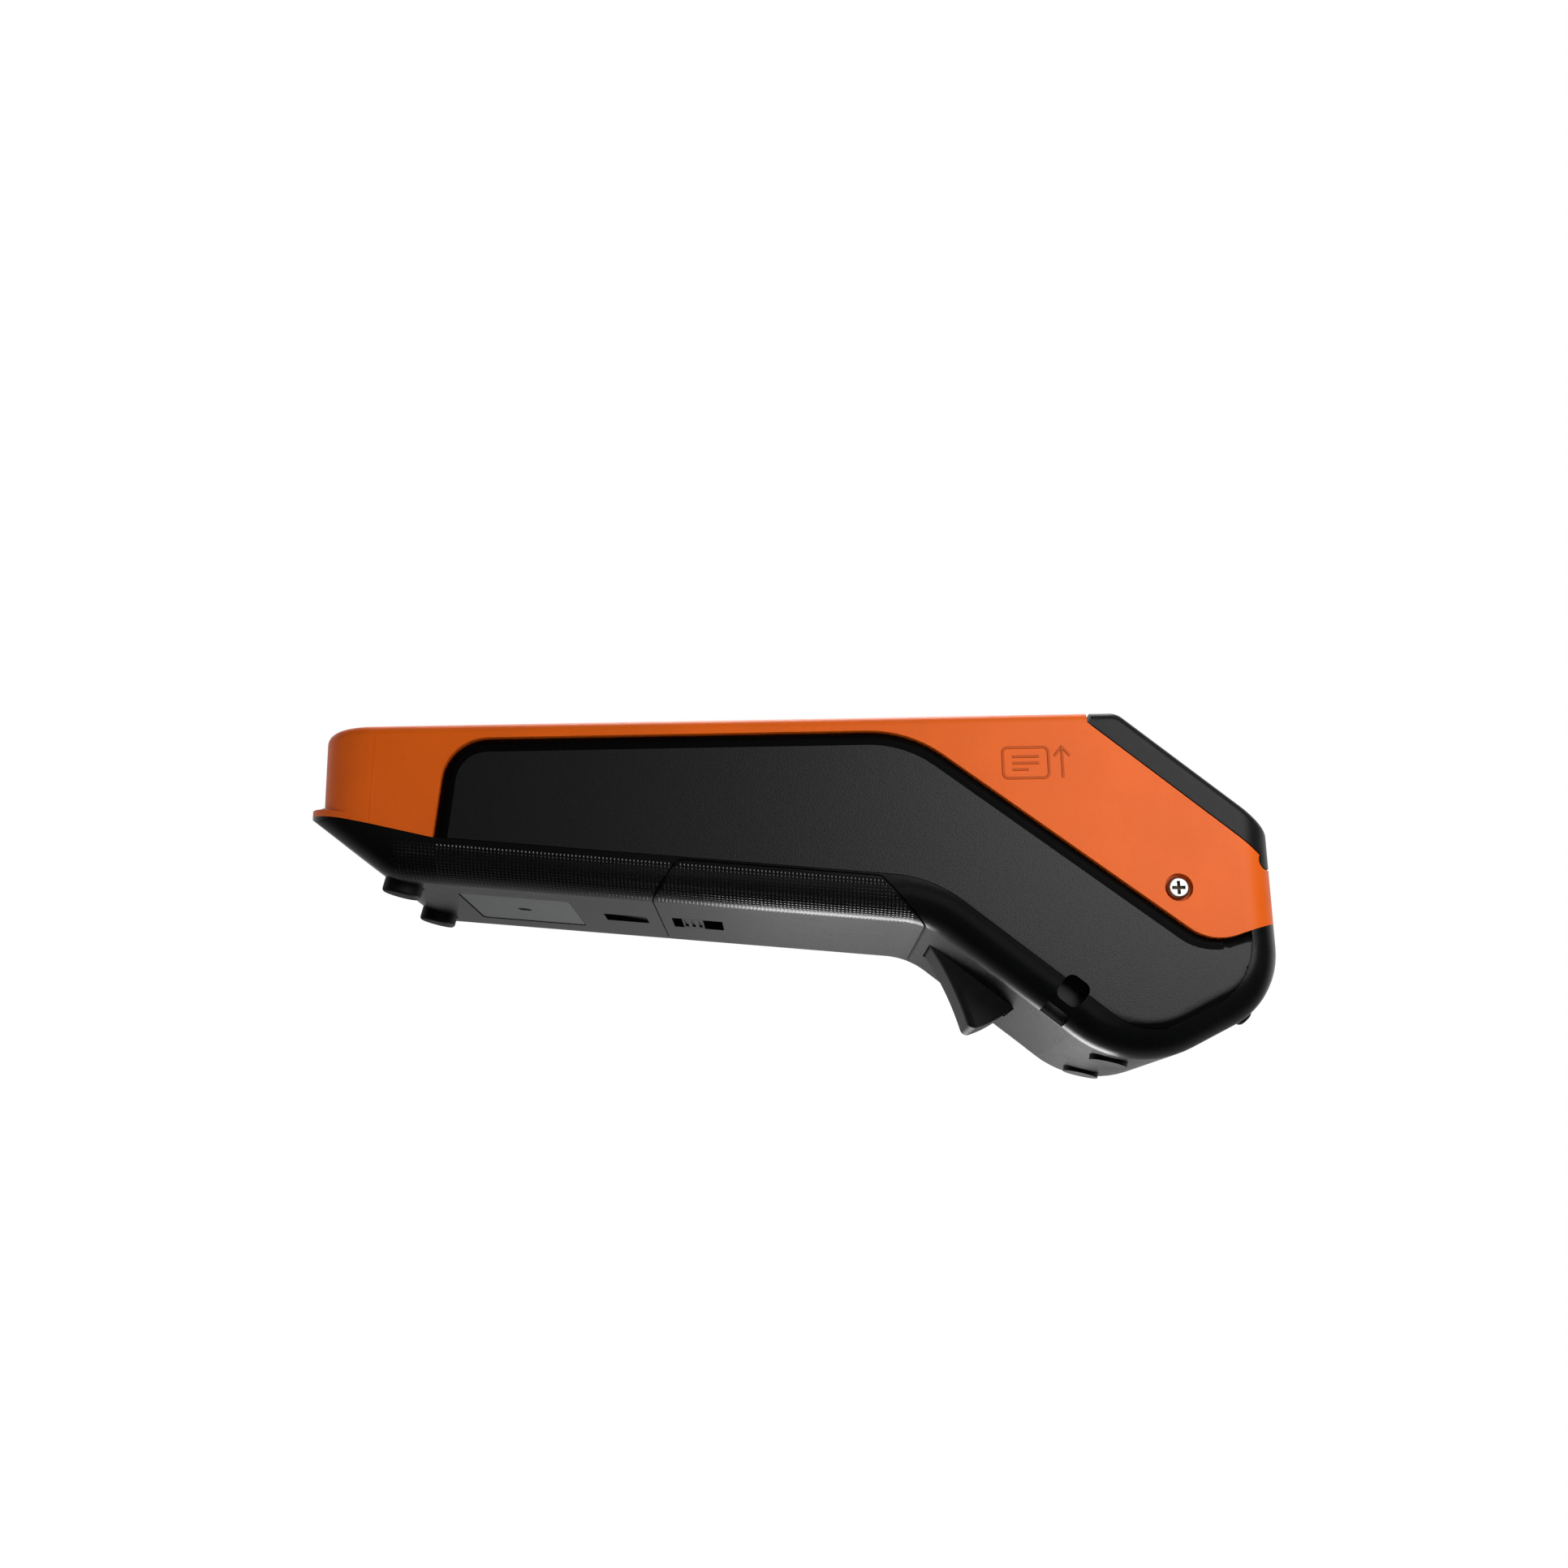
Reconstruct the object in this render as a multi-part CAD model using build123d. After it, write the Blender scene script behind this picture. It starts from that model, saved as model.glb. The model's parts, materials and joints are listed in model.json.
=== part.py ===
from build123d import *
import math
import os

# Handheld label maker. All sizes are millimetres and degrees.
# Device frame: x runs from the end wall to the nose, y across, z = 0 is the flat top face.
# At the end every piece is tipped onto its feet, which gives the resting frame with z = 0 on the table.

# Housing
BODY_WIDTH = 76.0
TOP_LENGTH = 187.0      # end wall to the label slot
HEAD_LENGTH = 43.0      # label slot to the nose
SKIN = 3.0              # skirts, side panels, front band
LINER = 2.0             # side walls of the lower shell behind the skin
WALL = 2.4              # top plate, bottom and lid
GAP = 0.3               # running clearance between pieces
SEAM = 0.15             # joint line between fixed pieces
LINER_START = 16.0      # side walls of the lower shell begin behind the end corners
END_CORNER = 13.0       # plan radius of the end wall
NOSE_CORNER = 9.0       # plan radius of the nose, and the roll of all lower edges
TOP_ROUND = 2.6         # round of the top edges
LIP_OUT, LIP_DROP, LIP_THICK, LIP_LEDGE, LIP_FLARE, LIP_TAPER = 3.8, 20.3, 1.6, 0.5, 2.2, 52.0
GRIP_DEPTH, GRIP_SLOPE = 35.2, 5.75
BOW_SLOPE, BOW_ROUND = 37.5, 14.0
NECK_BACK, NECK_DEPTH, NECK_SLOPE, NECK_ROUND = 35.0, 54.3, 39.0, 20.0
CHIN_SLOPE, NOSE_DEPTH, NOSE_ROUND, BELLY_ROUND = 26.0, 70.1, 20.0, 26.4
LID_FLAT, LID_SLOPE, LID_SKIRT, BROW_ROUND = 7.6, 40.1, 7.0, 5.0
LABEL_SLOT = 1.0        # opening between top plate and lid

# Side panel and strap outlines
PANEL_START, PANEL_LEAN, PANEL_DROP, PANEL_FOOT = 29.0, 83.6, 3.8, 29.0
GRIP_ROLL, NECK_ROLL, CHIN_ROLL, NOSE_ROLL = 9.8, 8.3, 6.2, 7.5
STRAP_X, STRAP_Z, STRAP_SLOPE = 19.0, 51.8, 37.6
BAND_Z, BAND_RISE = 51.9, 17.0
PANEL_ROUNDS = (0.0, 11.0, 30.0, 12.0, 0.0, 18.0, 15.0, 30.0)
PANEL_EDGE = 2.5        # rounded border of the panel along the orange shell

# Lid hinge at the nose
HINGE_IN = 1.9          # axis behind the nose face, also the barrel radius
HINGE_PIN = 1.5
KNUCKLE = 20.0          # middle knuckle, on the front band
RUN = 0.05              # radial play of turning shafts

# Keypad, display and board
KEY_ROWS, KEY_COLUMNS = 5, 3
KEYPAD_LEFT = 12.0
KEYPAD_SIDE = 5.0       # keypad edge to the inside of the skirts
KEY_SPACE = 5.0         # between neighbouring keys
KEY_PROUD, KEY_TRAVEL, KEY_FLANGE, KEY_ROUND = 1.3, 1.0, 0.8, 2.2
WINDOW_LENGTH, WINDOW_THICK, WINDOW_LEDGE, WINDOW_BACK, WINDOW_ROUND = 62.0, 1.2, 3.0, 18.0, 3.0
WINDOW_SIDE = 10.0      # window edge to the inside of the skirts
BOARD_LEFT, BOARD_BACK, BOARD_SIDE, BOARD_DROP, BOARD_THICK = 9.0, 17.0, 2.6, 9.0, 1.6
BOSS, BOSS_BORE, BOSS_BACK, BOSS_SIDE = 4.8, 2.0, 21.0, 6.0
DISPLAY_GLASS, DOME_OD, DOME_HIGH = 2.0, 6.0, 0.4
BUZZER_X, BUZZER_OD, BUZZER_HIGH = 66.0, 12.0, 4.5

# Print mechanism
MECH_SIDE = 7.7         # room for arms and gears beside the label
PLATEN_X, PLATEN_Z, PLATEN_OD, SHAFT = 6.4, 9.4, 9.0, 4.0
ARM_ROOM, ARM_THICK, BUSH_OD = 1.1, 2.0, 6.0
GEAR_ROOM, GEAR_WIDTH, MODULE = 4.0, 2.6, 0.5
PLATEN_TEETH, IDLER_TEETH, PINION_TEETH = 22, 28, 12
MESH_PLAY = 0.12
IDLER_TURN, PINION_TURN = 230.0, 198.0
PLATE = 1.6
FRAME_BACK, FRAME_FRONT, FRAME_DROP = 13.0, 1.0, 30.0
CROSS_BACK, CROSS_DROP = 8.5, 13.4
HEAD_BACK, HEAD_FACE, HEAD_TOP, HEAD_LOW = 2.2, 1.6, 3.4, 15.4
MOTOR_OD, MOTOR_LENGTH, PIN = 14.0, 14.0, 3.0
TEAR_THICK, TEAR_DEEP, TEAR_PITCH = 0.8, 2.8, 1.6
SENSOR_REACH, SENSOR_WIDE, SENSOR_HIGH = 3.0, 6.0, 2.4
ROLL_X, ROLL_Z, ROLL_OD, CORE_OD, CORE_WALL = 13.0, 53.0, 44.0, 18.0, 3.0
SPINDLE_END, CRADLE_THICK, CRADLE = 8.0, 3.4, 15.0

# Trigger
TRIGGER_WIDTH = 20.0
PIVOT_X, PIVOT_Z, TRIGGER_PIN = 34.5, 47.5, 3.0
TRIGGER_REACH, TRIGGER_TIP, TRIGGER_HEEL, TRIGGER_BOSS = 26.8, -77.5, -36.0, 6.4
FINGER_HOLLOW, TRIGGER_ROUND, SLOT_GAP = 0.9, 2.0, 0.4
LUG, LUG_THICK = 7.2, 3.0
SWITCH_RUN, SWITCH_LONG, SWITCH_WIDE, SWITCH_HIGH = 30.5, 12.8, 6.4, 6.0

# Battery
COVER_LEFT, COVER_LEAN, COVER_TOP, COVER_ROUND = 87.6, 53.0, 0.5, 2.5
COVER_RIGHT, COVER_END = 51.0, 47.0
PACK_X, PACK_LENGTH, PACK_WIDTH, PACK_HEIGHT, PACK_ROOM, TRAY = 121.0, 40.0, 37.0, 18.5, 1.0, 1.5
LATCH_X, LATCH_LONG, LATCH_WIDE, LATCH_TAB, LATCH_LEAD = 84.0, 13.0, 14.0, 5.4, 2.6
THUMB_X, THUMB_LONG, THUMB_WIDE, THUMB_DEEP, THUMB_TILT = 72.0, 11.0, 10.0, 1.0, 4.0

# Feet, screws, eyelets
FOOT_X, FOOT_DROP, FOOT_OD, FOOT_Y, FOOT_SUNK = 18.3, 39.3, 9.6, 21.5, 4.2
PAD_OD, PAD_Y, PAD_PROUD, PAD_SUNK = 9.2, 19.0, 0.9, 1.6
BUMPER_OD, BUMPER_Y, BUMPER_PROUD, BUMPER_ANGLE = 5.0, 19.0, 1.6, -47.0
SCREW_X, SCREW_Z, SCREW_OD, SCREW_SHANK = 19.2, 43.7, 5.3, 2.9
SCREW_SINK, SCREW_HEAD, SCREW_RIM = 0.4, 1.8, 0.7
PLATE_LEFT, PLATE_LONG, PLATE_WIDE, PLATE_DEEP, PLATE_THICK, PLATE_HOLE = 31.5, 28.0, 37.0, 0.6, 0.4, 3.6
EYE_RUN, EYE_RISE, EYE_WIDE, EYE_HIGH, EYE_DEEP, EYE_UNDER, EYE_ROUND = 30.0, 7.15, 6.5, 6.4, 8.4, 5.2, 2.0

UP = (Align.CENTER, Align.CENTER, Align.MIN)


def sind(angle):
    return math.sin(math.radians(angle))


def cosd(angle):
    return math.cos(math.radians(angle))


def meet(p, p_angle, q, q_angle):
    """Crossing of two lines in the x-z plane, each given by a point and a direction."""
    ux, uz, vx, vz = cosd(p_angle), sind(p_angle), cosd(q_angle), sind(q_angle)
    t = ((q[0] - p[0]) * vz - (q[1] - p[1]) * vx) / (ux * vz - uz * vx)
    return (p[0] + t * ux, p[1] + t * uz)


def shift(p, angle, distance):
    """A point moved square to a line's direction, to its left when positive."""
    return (p[0] - sind(angle) * distance, p[1] + cosd(angle) * distance)


def outline(*corners):
    """Closed x-z face from (point, rounding) pairs."""
    return make_face(FilletPolyline(*[c[0] for c in corners], radius=[c[1] for c in corners], close=True))


def sharp(*points):
    return make_face(Polyline(*points, close=True))


def slab(face, y_low, y_high):
    """An x-z face made solid between two y values."""
    return Pos(0, y_high, 0) * extrude(Plane.XZ * face, y_high - y_low)


def plan(x_low, x_high, half_width, end_round, nose_round, z_low, z_high):
    """Upright block with its own rounding at the end-wall corners and the nose corners."""
    corners = [(x_low, -half_width), (x_high, -half_width), (x_high, half_width), (x_low, half_width)]
    wire = FilletPolyline(*corners, radius=[end_round, nose_round, nose_round, end_round], close=True)
    return Pos(0, 0, z_low) * extrude(make_face(wire), z_high - z_low)


# Derived lines and corners of the side view
HALF = BODY_WIDTH / 2
SKIN_IN = HALF - SKIN
LINER_OUT = SKIN_IN - GAP
LINER_IN = LINER_OUT - LINER
NOSE = TOP_LENGTH + HEAD_LENGTH
ABOVE, BELOW, BEYOND = 20.0, -140.0, NOSE + 40.0
LIP = (-LIP_OUT, -LIP_DROP)
GRIP = (0.0, -GRIP_DEPTH)
NECK = (TOP_LENGTH - NECK_BACK, -NECK_DEPTH)
CHIN = (NOSE, -NOSE_DEPTH)
BROW = (TOP_LENGTH + LID_FLAT, 0.0)
STRAP_TOP = shift(BROW, -LID_SLOPE, -LID_SKIRT)
STRAP_LOW = (TOP_LENGTH + STRAP_X, -STRAP_Z)
BAND_LOW = (NOSE, -BAND_Z)
PANEL_LEFT = (PANEL_START, -PANEL_FOOT)


def panel_corners():
    """Corners of the side panel from its lower left one, clockwise."""
    roll = shift(GRIP, -GRIP_SLOPE, GRIP_ROLL)
    neck = shift(NECK, -NECK_SLOPE, NECK_ROLL)
    chin = shift(CHIN, CHIN_SLOPE, CHIN_ROLL)
    top, front = (0.0, -PANEL_DROP), (NOSE - NOSE_ROLL, 0.0)
    return [
        meet(PANEL_LEFT, PANEL_LEAN, roll, -GRIP_SLOPE),
        meet(PANEL_LEFT, PANEL_LEAN, top, 0),
        meet(top, 0, STRAP_LOW, -STRAP_SLOPE),
        meet(STRAP_LOW, -STRAP_SLOPE, BAND_LOW, BAND_RISE),
        meet(BAND_LOW, BAND_RISE, front, 90),
        meet(front, 90, chin, CHIN_SLOPE),
        meet(chin, CHIN_SLOPE, neck, -NECK_SLOPE),
        meet(neck, -NECK_SLOPE, roll, -GRIP_SLOPE),
    ]


PANEL = panel_corners()
PARTING = math.degrees(math.atan2(PANEL[0][1] - LIP[1], PANEL[0][0] - LIP[0]))


def panel_face():
    return outline(*zip(PANEL, PANEL_ROUNDS))


def upper_face():
    """Side-view region of the orange shell."""
    return outline(
        (meet(LIP, PARTING, (-BEYOND, 0), 90), 0),
        ((-BEYOND, ABOVE), 0),
        ((TOP_LENGTH, ABOVE), 0),
        (meet((TOP_LENGTH, 0), 90, STRAP_TOP, -LID_SLOPE), 0),
        (meet((BEYOND, 0), 90, STRAP_TOP, -LID_SLOPE), 0),
        (meet((BEYOND, 0), 90, BAND_LOW, BAND_RISE), 0),
        (PANEL[3], PANEL_ROUNDS[3]),
        (PANEL[2], PANEL_ROUNDS[2]),
        (PANEL[1], PANEL_ROUNDS[1]),
        (PANEL[0], 0),
    )


def lower_face():
    """Side-view region where the lower shell reaches the outside."""
    return outline(
        (meet(LIP, PARTING, (-BEYOND, 0), 90), 0),
        (PANEL[0], 0),
        (PANEL[7], PANEL_ROUNDS[7]),
        (PANEL[6], PANEL_ROUNDS[6]),
        (PANEL[5], PANEL_ROUNDS[5]),
        (PANEL[4], 0),
        (meet((BEYOND, 0), 90, BAND_LOW, BAND_RISE), 0),
        ((BEYOND, BELOW), 0),
        ((-BEYOND, BELOW), 0),
    )


def lid_face():
    edge = shift(STRAP_TOP, -LID_SLOPE, GAP)
    slot = (TOP_LENGTH + LABEL_SLOT, 0.0)
    return sharp(
        (slot[0], ABOVE),
        (BEYOND, ABOVE),
        meet((BEYOND, 0), 90, edge, -LID_SLOPE),
        meet(slot, 90, edge, -LID_SLOPE),
    )


def upper_body():
    """Outer form of top, skirts, strap and lid."""
    tip = meet(BROW, -LID_SLOPE, (NOSE, 0), 90)
    side = slab(outline(((0, 0), 0), (BROW, BROW_ROUND), (tip, 0), ((NOSE, BELOW), 0), ((0, BELOW), 0)),
                -HALF, HALF)
    body = side & plan(0, NOSE, HALF, END_CORNER, NOSE_CORNER, BELOW, ABOVE)
    top = body.faces().filter_by(lambda f: f.normal_at().Z > 0.3).edges()
    rim = [e for e in top if abs(e.center().Y) > 1 or e.center().X < 1 or e.center().X > NOSE - 1]
    return fillet(rim, TOP_ROUND)


def lower_body():
    """Outer form of grip, neck, belly and nose."""
    bow = meet(LIP, -BOW_SLOPE, GRIP, -GRIP_SLOPE)
    bend = meet(GRIP, -GRIP_SLOPE, NECK, -NECK_SLOPE)
    belly = meet(NECK, -NECK_SLOPE, CHIN, CHIN_SLOPE)
    side = slab(outline((LIP, 0), ((LIP[0], ABOVE), 0), ((NOSE, ABOVE), 0), (CHIN, NOSE_ROUND),
                        (belly, BELLY_ROUND), (bend, NECK_ROUND), (bow, BOW_ROUND)), -HALF, HALF)
    rolled = [e for e in side.edges() if abs(e.center().Y) > HALF - 0.01
              and e.center().X > LIP[0] + 0.01 and e.center().Z < ABOVE - 0.01]
    end = plan(LIP[0], BEYOND, HALF, END_CORNER + LIP_OUT, 0, BELOW, 2 * ABOVE)
    return fillet(rolled, NOSE_CORNER) & end


UPPER_BODY = upper_body()
LOWER_BODY = lower_body()

# Places that several pieces share
LABEL_HALF = LINER_IN - MECH_SIDE
PIN_REACH = HALF - NOSE_CORNER
PLATEN = (TOP_LENGTH + PLATEN_X, -PLATEN_Z)
ROLL = (TOP_LENGTH + ROLL_X, -ROLL_Z)
PIVOT = (TOP_LENGTH - PIVOT_X, -PIVOT_Z)
SCREW = (TOP_LENGTH + SCREW_X, -SCREW_Z)
HINGE = shift(meet((NOSE - HINGE_IN, 0), 90, STRAP_TOP, -LID_SLOPE), -LID_SLOPE, GAP)
BELLY = meet(shift(NECK, -NECK_SLOPE, BELLY_ROUND), -NECK_SLOPE,
             shift(CHIN, CHIN_SLOPE, BELLY_ROUND), CHIN_SLOPE)
NOSE_BEND = meet((NOSE - NOSE_ROUND, 0), 90, shift(CHIN, CHIN_SLOPE, NOSE_ROUND), CHIN_SLOPE)
FOOT = (FOOT_X, -FOOT_DROP)
BELLY_RUN, BELLY_FALL = BELLY[0] - FOOT[0], BELLY[1] - FOOT[1]
TILT = (math.degrees(math.asin((BELLY_ROUND + PAD_PROUD) / math.hypot(BELLY_RUN, BELLY_FALL)))
        - math.degrees(math.atan2(BELLY_FALL, BELLY_RUN)))
WINDOW_X = TOP_LENGTH - WINDOW_BACK - WINDOW_LENGTH / 2
WINDOW_WIDTH = 2 * (SKIN_IN - WINDOW_SIDE)
KEY_STEP_X = (WINDOW_X - WINDOW_LENGTH / 2 - WINDOW_LEDGE - KEYPAD_LEFT) / KEY_ROWS
KEY_STEP_Y = 2 * (SKIN_IN - KEYPAD_SIDE) / KEY_COLUMNS
KEY_LENGTH, KEY_WIDTH = KEY_STEP_X - KEY_SPACE, KEY_STEP_Y - KEY_SPACE
KEY_NAMES = ("clear", "0", "enter", "7", "8", "9", "4", "5", "6", "1", "2", "3", "menu", "feed", "ok")


def rod(point, radius, y_low, y_high):
    """Round bar across the device."""
    return slab(Pos(*point) * Circle(radius), y_low, y_high)


def both(piece):
    """A piece and its mirror image on the other side."""
    return piece + mirror(piece, Plane.XZ)


def block(x_low, x_high, y_low, y_high, z_low, z_high):
    size = (x_high - x_low, y_high - y_low, z_high - z_low)
    return Pos((x_low + x_high) / 2, (y_low + y_high) / 2, (z_low + z_high) / 2) * Box(*size)


def on_grip(x):
    """Frame on the underside of the grip: its x follows the slope, its z points into the body."""
    return Pos(x, 0, -GRIP_DEPTH - x * math.tan(math.radians(GRIP_SLOPE))) * Rot(0, GRIP_SLOPE, 0)


def on_plate():
    """Frame on the floor of the plate recess under the grip."""
    return on_grip(PLATE_LEFT + PLATE_LONG / 2) * Pos(0, 0, PLATE_DEEP)


def on_neck(run):
    """Frame on the underside of the neck, at a distance along its slope."""
    return Pos(NECK[0] + run * cosd(NECK_SLOPE), 0, NECK[1] - run * sind(NECK_SLOPE)) * Rot(0, NECK_SLOPE, 0)


def key_places():
    rows = [KEYPAD_LEFT + (i + 0.5) * KEY_STEP_X for i in range(KEY_ROWS)]
    columns = [(KEY_COLUMNS - 1 - 2 * j) * KEY_STEP_Y / 2 for j in range(KEY_COLUMNS)]
    return [(x, y) for x in rows for y in columns]


def boss_places():
    inner = [(KEYPAD_LEFT + n * KEY_STEP_X, s * KEY_STEP_Y / 2) for n in (1, KEY_ROWS - 1) for s in (-1, 1)]
    return inner + [(TOP_LENGTH - BOSS_BACK, s * (SKIN_IN - BOSS_SIDE)) for s in (-1, 1)]


def lower_cavity():
    """Inside of the lower shell."""
    back, front = (SKIN + GAP, 0), (NOSE - SKIN - GAP - LINER, 0)
    bow, grip = shift(LIP, -BOW_SLOPE, WALL), shift(GRIP, -GRIP_SLOPE, WALL)
    neck, chin = shift(NECK, -NECK_SLOPE, WALL), shift(CHIN, CHIN_SLOPE, WALL)
    face = outline(
        ((back[0], 2 * ABOVE), 0),
        (meet(back, 90, bow, -BOW_SLOPE), 0),
        (meet(bow, -BOW_SLOPE, grip, -GRIP_SLOPE), BOW_ROUND - WALL),
        (meet(grip, -GRIP_SLOPE, neck, -NECK_SLOPE), NECK_ROUND + WALL),
        (meet(neck, -NECK_SLOPE, chin, CHIN_SLOPE), BELLY_ROUND - WALL),
        (meet(chin, CHIN_SLOPE, front, 90), NOSE_ROUND - SKIN - LINER),
        ((front[0], 2 * ABOVE), 0),
    )
    return slab(face, -LINER_IN, LINER_IN) & plan(
        back[0], front[0], LINER_IN, END_CORNER - SKIN, NOSE_CORNER - SKIN - LINER, BELOW, 3 * ABOVE)


CAVITY = lower_cavity()


def cover_face(clearance):
    """Side-view region of the battery cover."""
    roll = shift(GRIP, -GRIP_SLOPE, GRIP_ROLL - COVER_TOP)
    left = meet((COVER_LEFT, 0), 90, roll, -GRIP_SLOPE)
    right = meet((TOP_LENGTH - COVER_RIGHT, 0), 90, roll, -GRIP_SLOPE)
    low = shift(GRIP, -GRIP_SLOPE, -COVER_TOP * 8)
    face = outline((meet(left, COVER_LEAN, low, -GRIP_SLOPE), 0), (left, COVER_ROUND), (right, COVER_ROUND),
                   (meet(right, -COVER_END, low, -GRIP_SLOPE), 0))
    return offset(face, clearance)


def trigger_face(clearance=0.0):
    """Wedge of the trigger: finger face, round heel about the pivot, and the web up to the boss."""
    def at(angle):
        return (PIVOT[0] + TRIGGER_REACH * cosd(angle), PIVOT[1] + TRIGGER_REACH * sind(angle))
    tip, heel = at(TRIGGER_TIP), at(TRIGGER_HEEL)
    start = (PIVOT[0] - TRIGGER_BOSS / 2 + GAP, PIVOT[1] - TRIGGER_BOSS * 0.85)
    crown = (PIVOT[0] + TRIGGER_BOSS / 4, PIVOT[1] + TRIGGER_BOSS * 0.43)
    brow = (PIVOT[0] - TRIGGER_BOSS / 2, PIVOT[1])
    hollow = ((start[0] + tip[0]) / 2 + FINGER_HOLLOW, (start[1] + tip[1]) / 2)
    edges = (ThreePointArc(tip, at((TRIGGER_TIP + TRIGGER_HEEL) / 2), heel)
             + Line(heel, crown) + Line(crown, brow) + Line(brow, start)
             + ThreePointArc(start, hollow, tip))
    face = make_face(edges)
    return offset(face, clearance) if clearance else face


def eye_side():
    """Strap opening in the side wall."""
    hole = on_neck(EYE_RUN) * Pos(0, -HALF + EYE_DEEP / 2, EYE_RISE) * Box(EYE_WIDE, EYE_DEEP + 2, EYE_HIGH)
    return both(fillet(hole.edges().filter_by(Axis.Y), EYE_ROUND))


def eye_under():
    """Strap opening in the rolled lower edge, meeting the one in the side."""
    tall = EYE_RISE + EYE_HIGH / 2
    at = on_neck(EYE_RUN) * Pos(0, -HALF + EYE_DEEP - EYE_UNDER / 2, tall / 2 - 1)
    return both(at * Box(EYE_WIDE, EYE_UNDER, tall + 2))


def end_lip():
    """Lip round the end wall along the parting line, flaring out from the wall above it."""
    reach = END_CORNER - LIP_OUT
    low = meet(LIP, PARTING, (-BEYOND, 0), 90)
    end = meet(LIP, PARTING, (reach, 0), 90)
    rise = LIP_THICK / cosd(PARTING)
    band = sharp(low, end, (end[0], end[1] + rise), (low[0], low[1] + rise))
    lip = plan(LIP[0], NOSE, HALF, END_CORNER + LIP_OUT, 0, BELOW, ABOVE) & slab(band, -HALF, HALF)
    flare = extrude(end_face(), LIP_FLARE, taper=LIP_TAPER)
    flare = Pos(LIP[0], 0, LIP[1] + rise) * Rot(0, -PARTING, 0) * flare
    return lip + (flare & block(-BEYOND, reach, -HALF, HALF, BELOW, ABOVE))


def end_face():
    """Plan of the flare where it starts, a ledge's width inside the lip."""
    corner, half = END_CORNER + LIP_OUT - LIP_LEDGE, HALF - LIP_LEDGE
    back = 3 * corner
    return make_face(FilletPolyline((LIP_LEDGE, -half), (back, -half), (back, half), (LIP_LEDGE, half),
                                    radius=[corner, 0, 0, corner], close=True))


def upper_shell():
    shell = UPPER_BODY & slab(upper_face(), -HALF, HALF)
    inside = plan(SKIN, NOSE - SKIN, SKIN_IN, END_CORNER - SKIN, NOSE_CORNER - SKIN, BELOW, -WALL)
    shell = shell + end_lip() - inside
    for x, y in boss_places():
        shell += Pos(x, y, -BOARD_DROP) * Cylinder(BOSS / 2, BOARD_DROP - WALL / 2, align=UP)
        shell -= Pos(x, y, -BOARD_DROP) * Cylinder(BOSS_BORE / 2, BOARD_DROP - WALL, align=UP)
    hole = RectangleRounded(KEY_LENGTH + 2 * GAP, KEY_WIDTH + 2 * GAP, KEY_ROUND + GAP)
    for x, y in key_places():
        shell -= Pos(x, y, -2 * WALL) * extrude(hole, 3 * WALL)
    window = RectangleRounded(WINDOW_LENGTH, WINDOW_WIDTH, WINDOW_ROUND)
    sight = RectangleRounded(
        WINDOW_LENGTH - 2 * WINDOW_LEDGE, WINDOW_WIDTH - 2 * WINDOW_LEDGE, WINDOW_ROUND / 2)
    shell -= Pos(WINDOW_X, 0, -WINDOW_THICK) * extrude(window, 2 * WALL)
    shell -= Pos(WINDOW_X, 0, -2 * WALL) * extrude(sight, 3 * WALL)
    shell -= block(TOP_LENGTH - TEAR_THICK, TOP_LENGTH + 1, -LABEL_HALF - 1, LABEL_HALF + 1, -2 * WALL, WALL)
    shell -= rod(HINGE, HINGE_IN + GAP, -HALF, HALF)
    knuckle = rod(HINGE, HINGE_IN, -KNUCKLE / 2, KNUCKLE / 2)
    root = block(NOSE - SKIN, NOSE, -KNUCKLE / 2, KNUCKLE / 2, HINGE[1] - 2 * HINGE_IN, HINGE[1])
    shell += (knuckle + root) & UPPER_BODY
    shell -= rod(HINGE, HINGE_PIN / 2, -PIN_REACH, PIN_REACH)
    shell -= both(rod(SCREW, SCREW_SHANK / 2, -HALF, -LINER_OUT))
    return shell - both(rod(SCREW, SCREW_OD / 2 + SCREW_RIM, -HALF, -HALF + SCREW_SINK + SCREW_HEAD))


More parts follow.
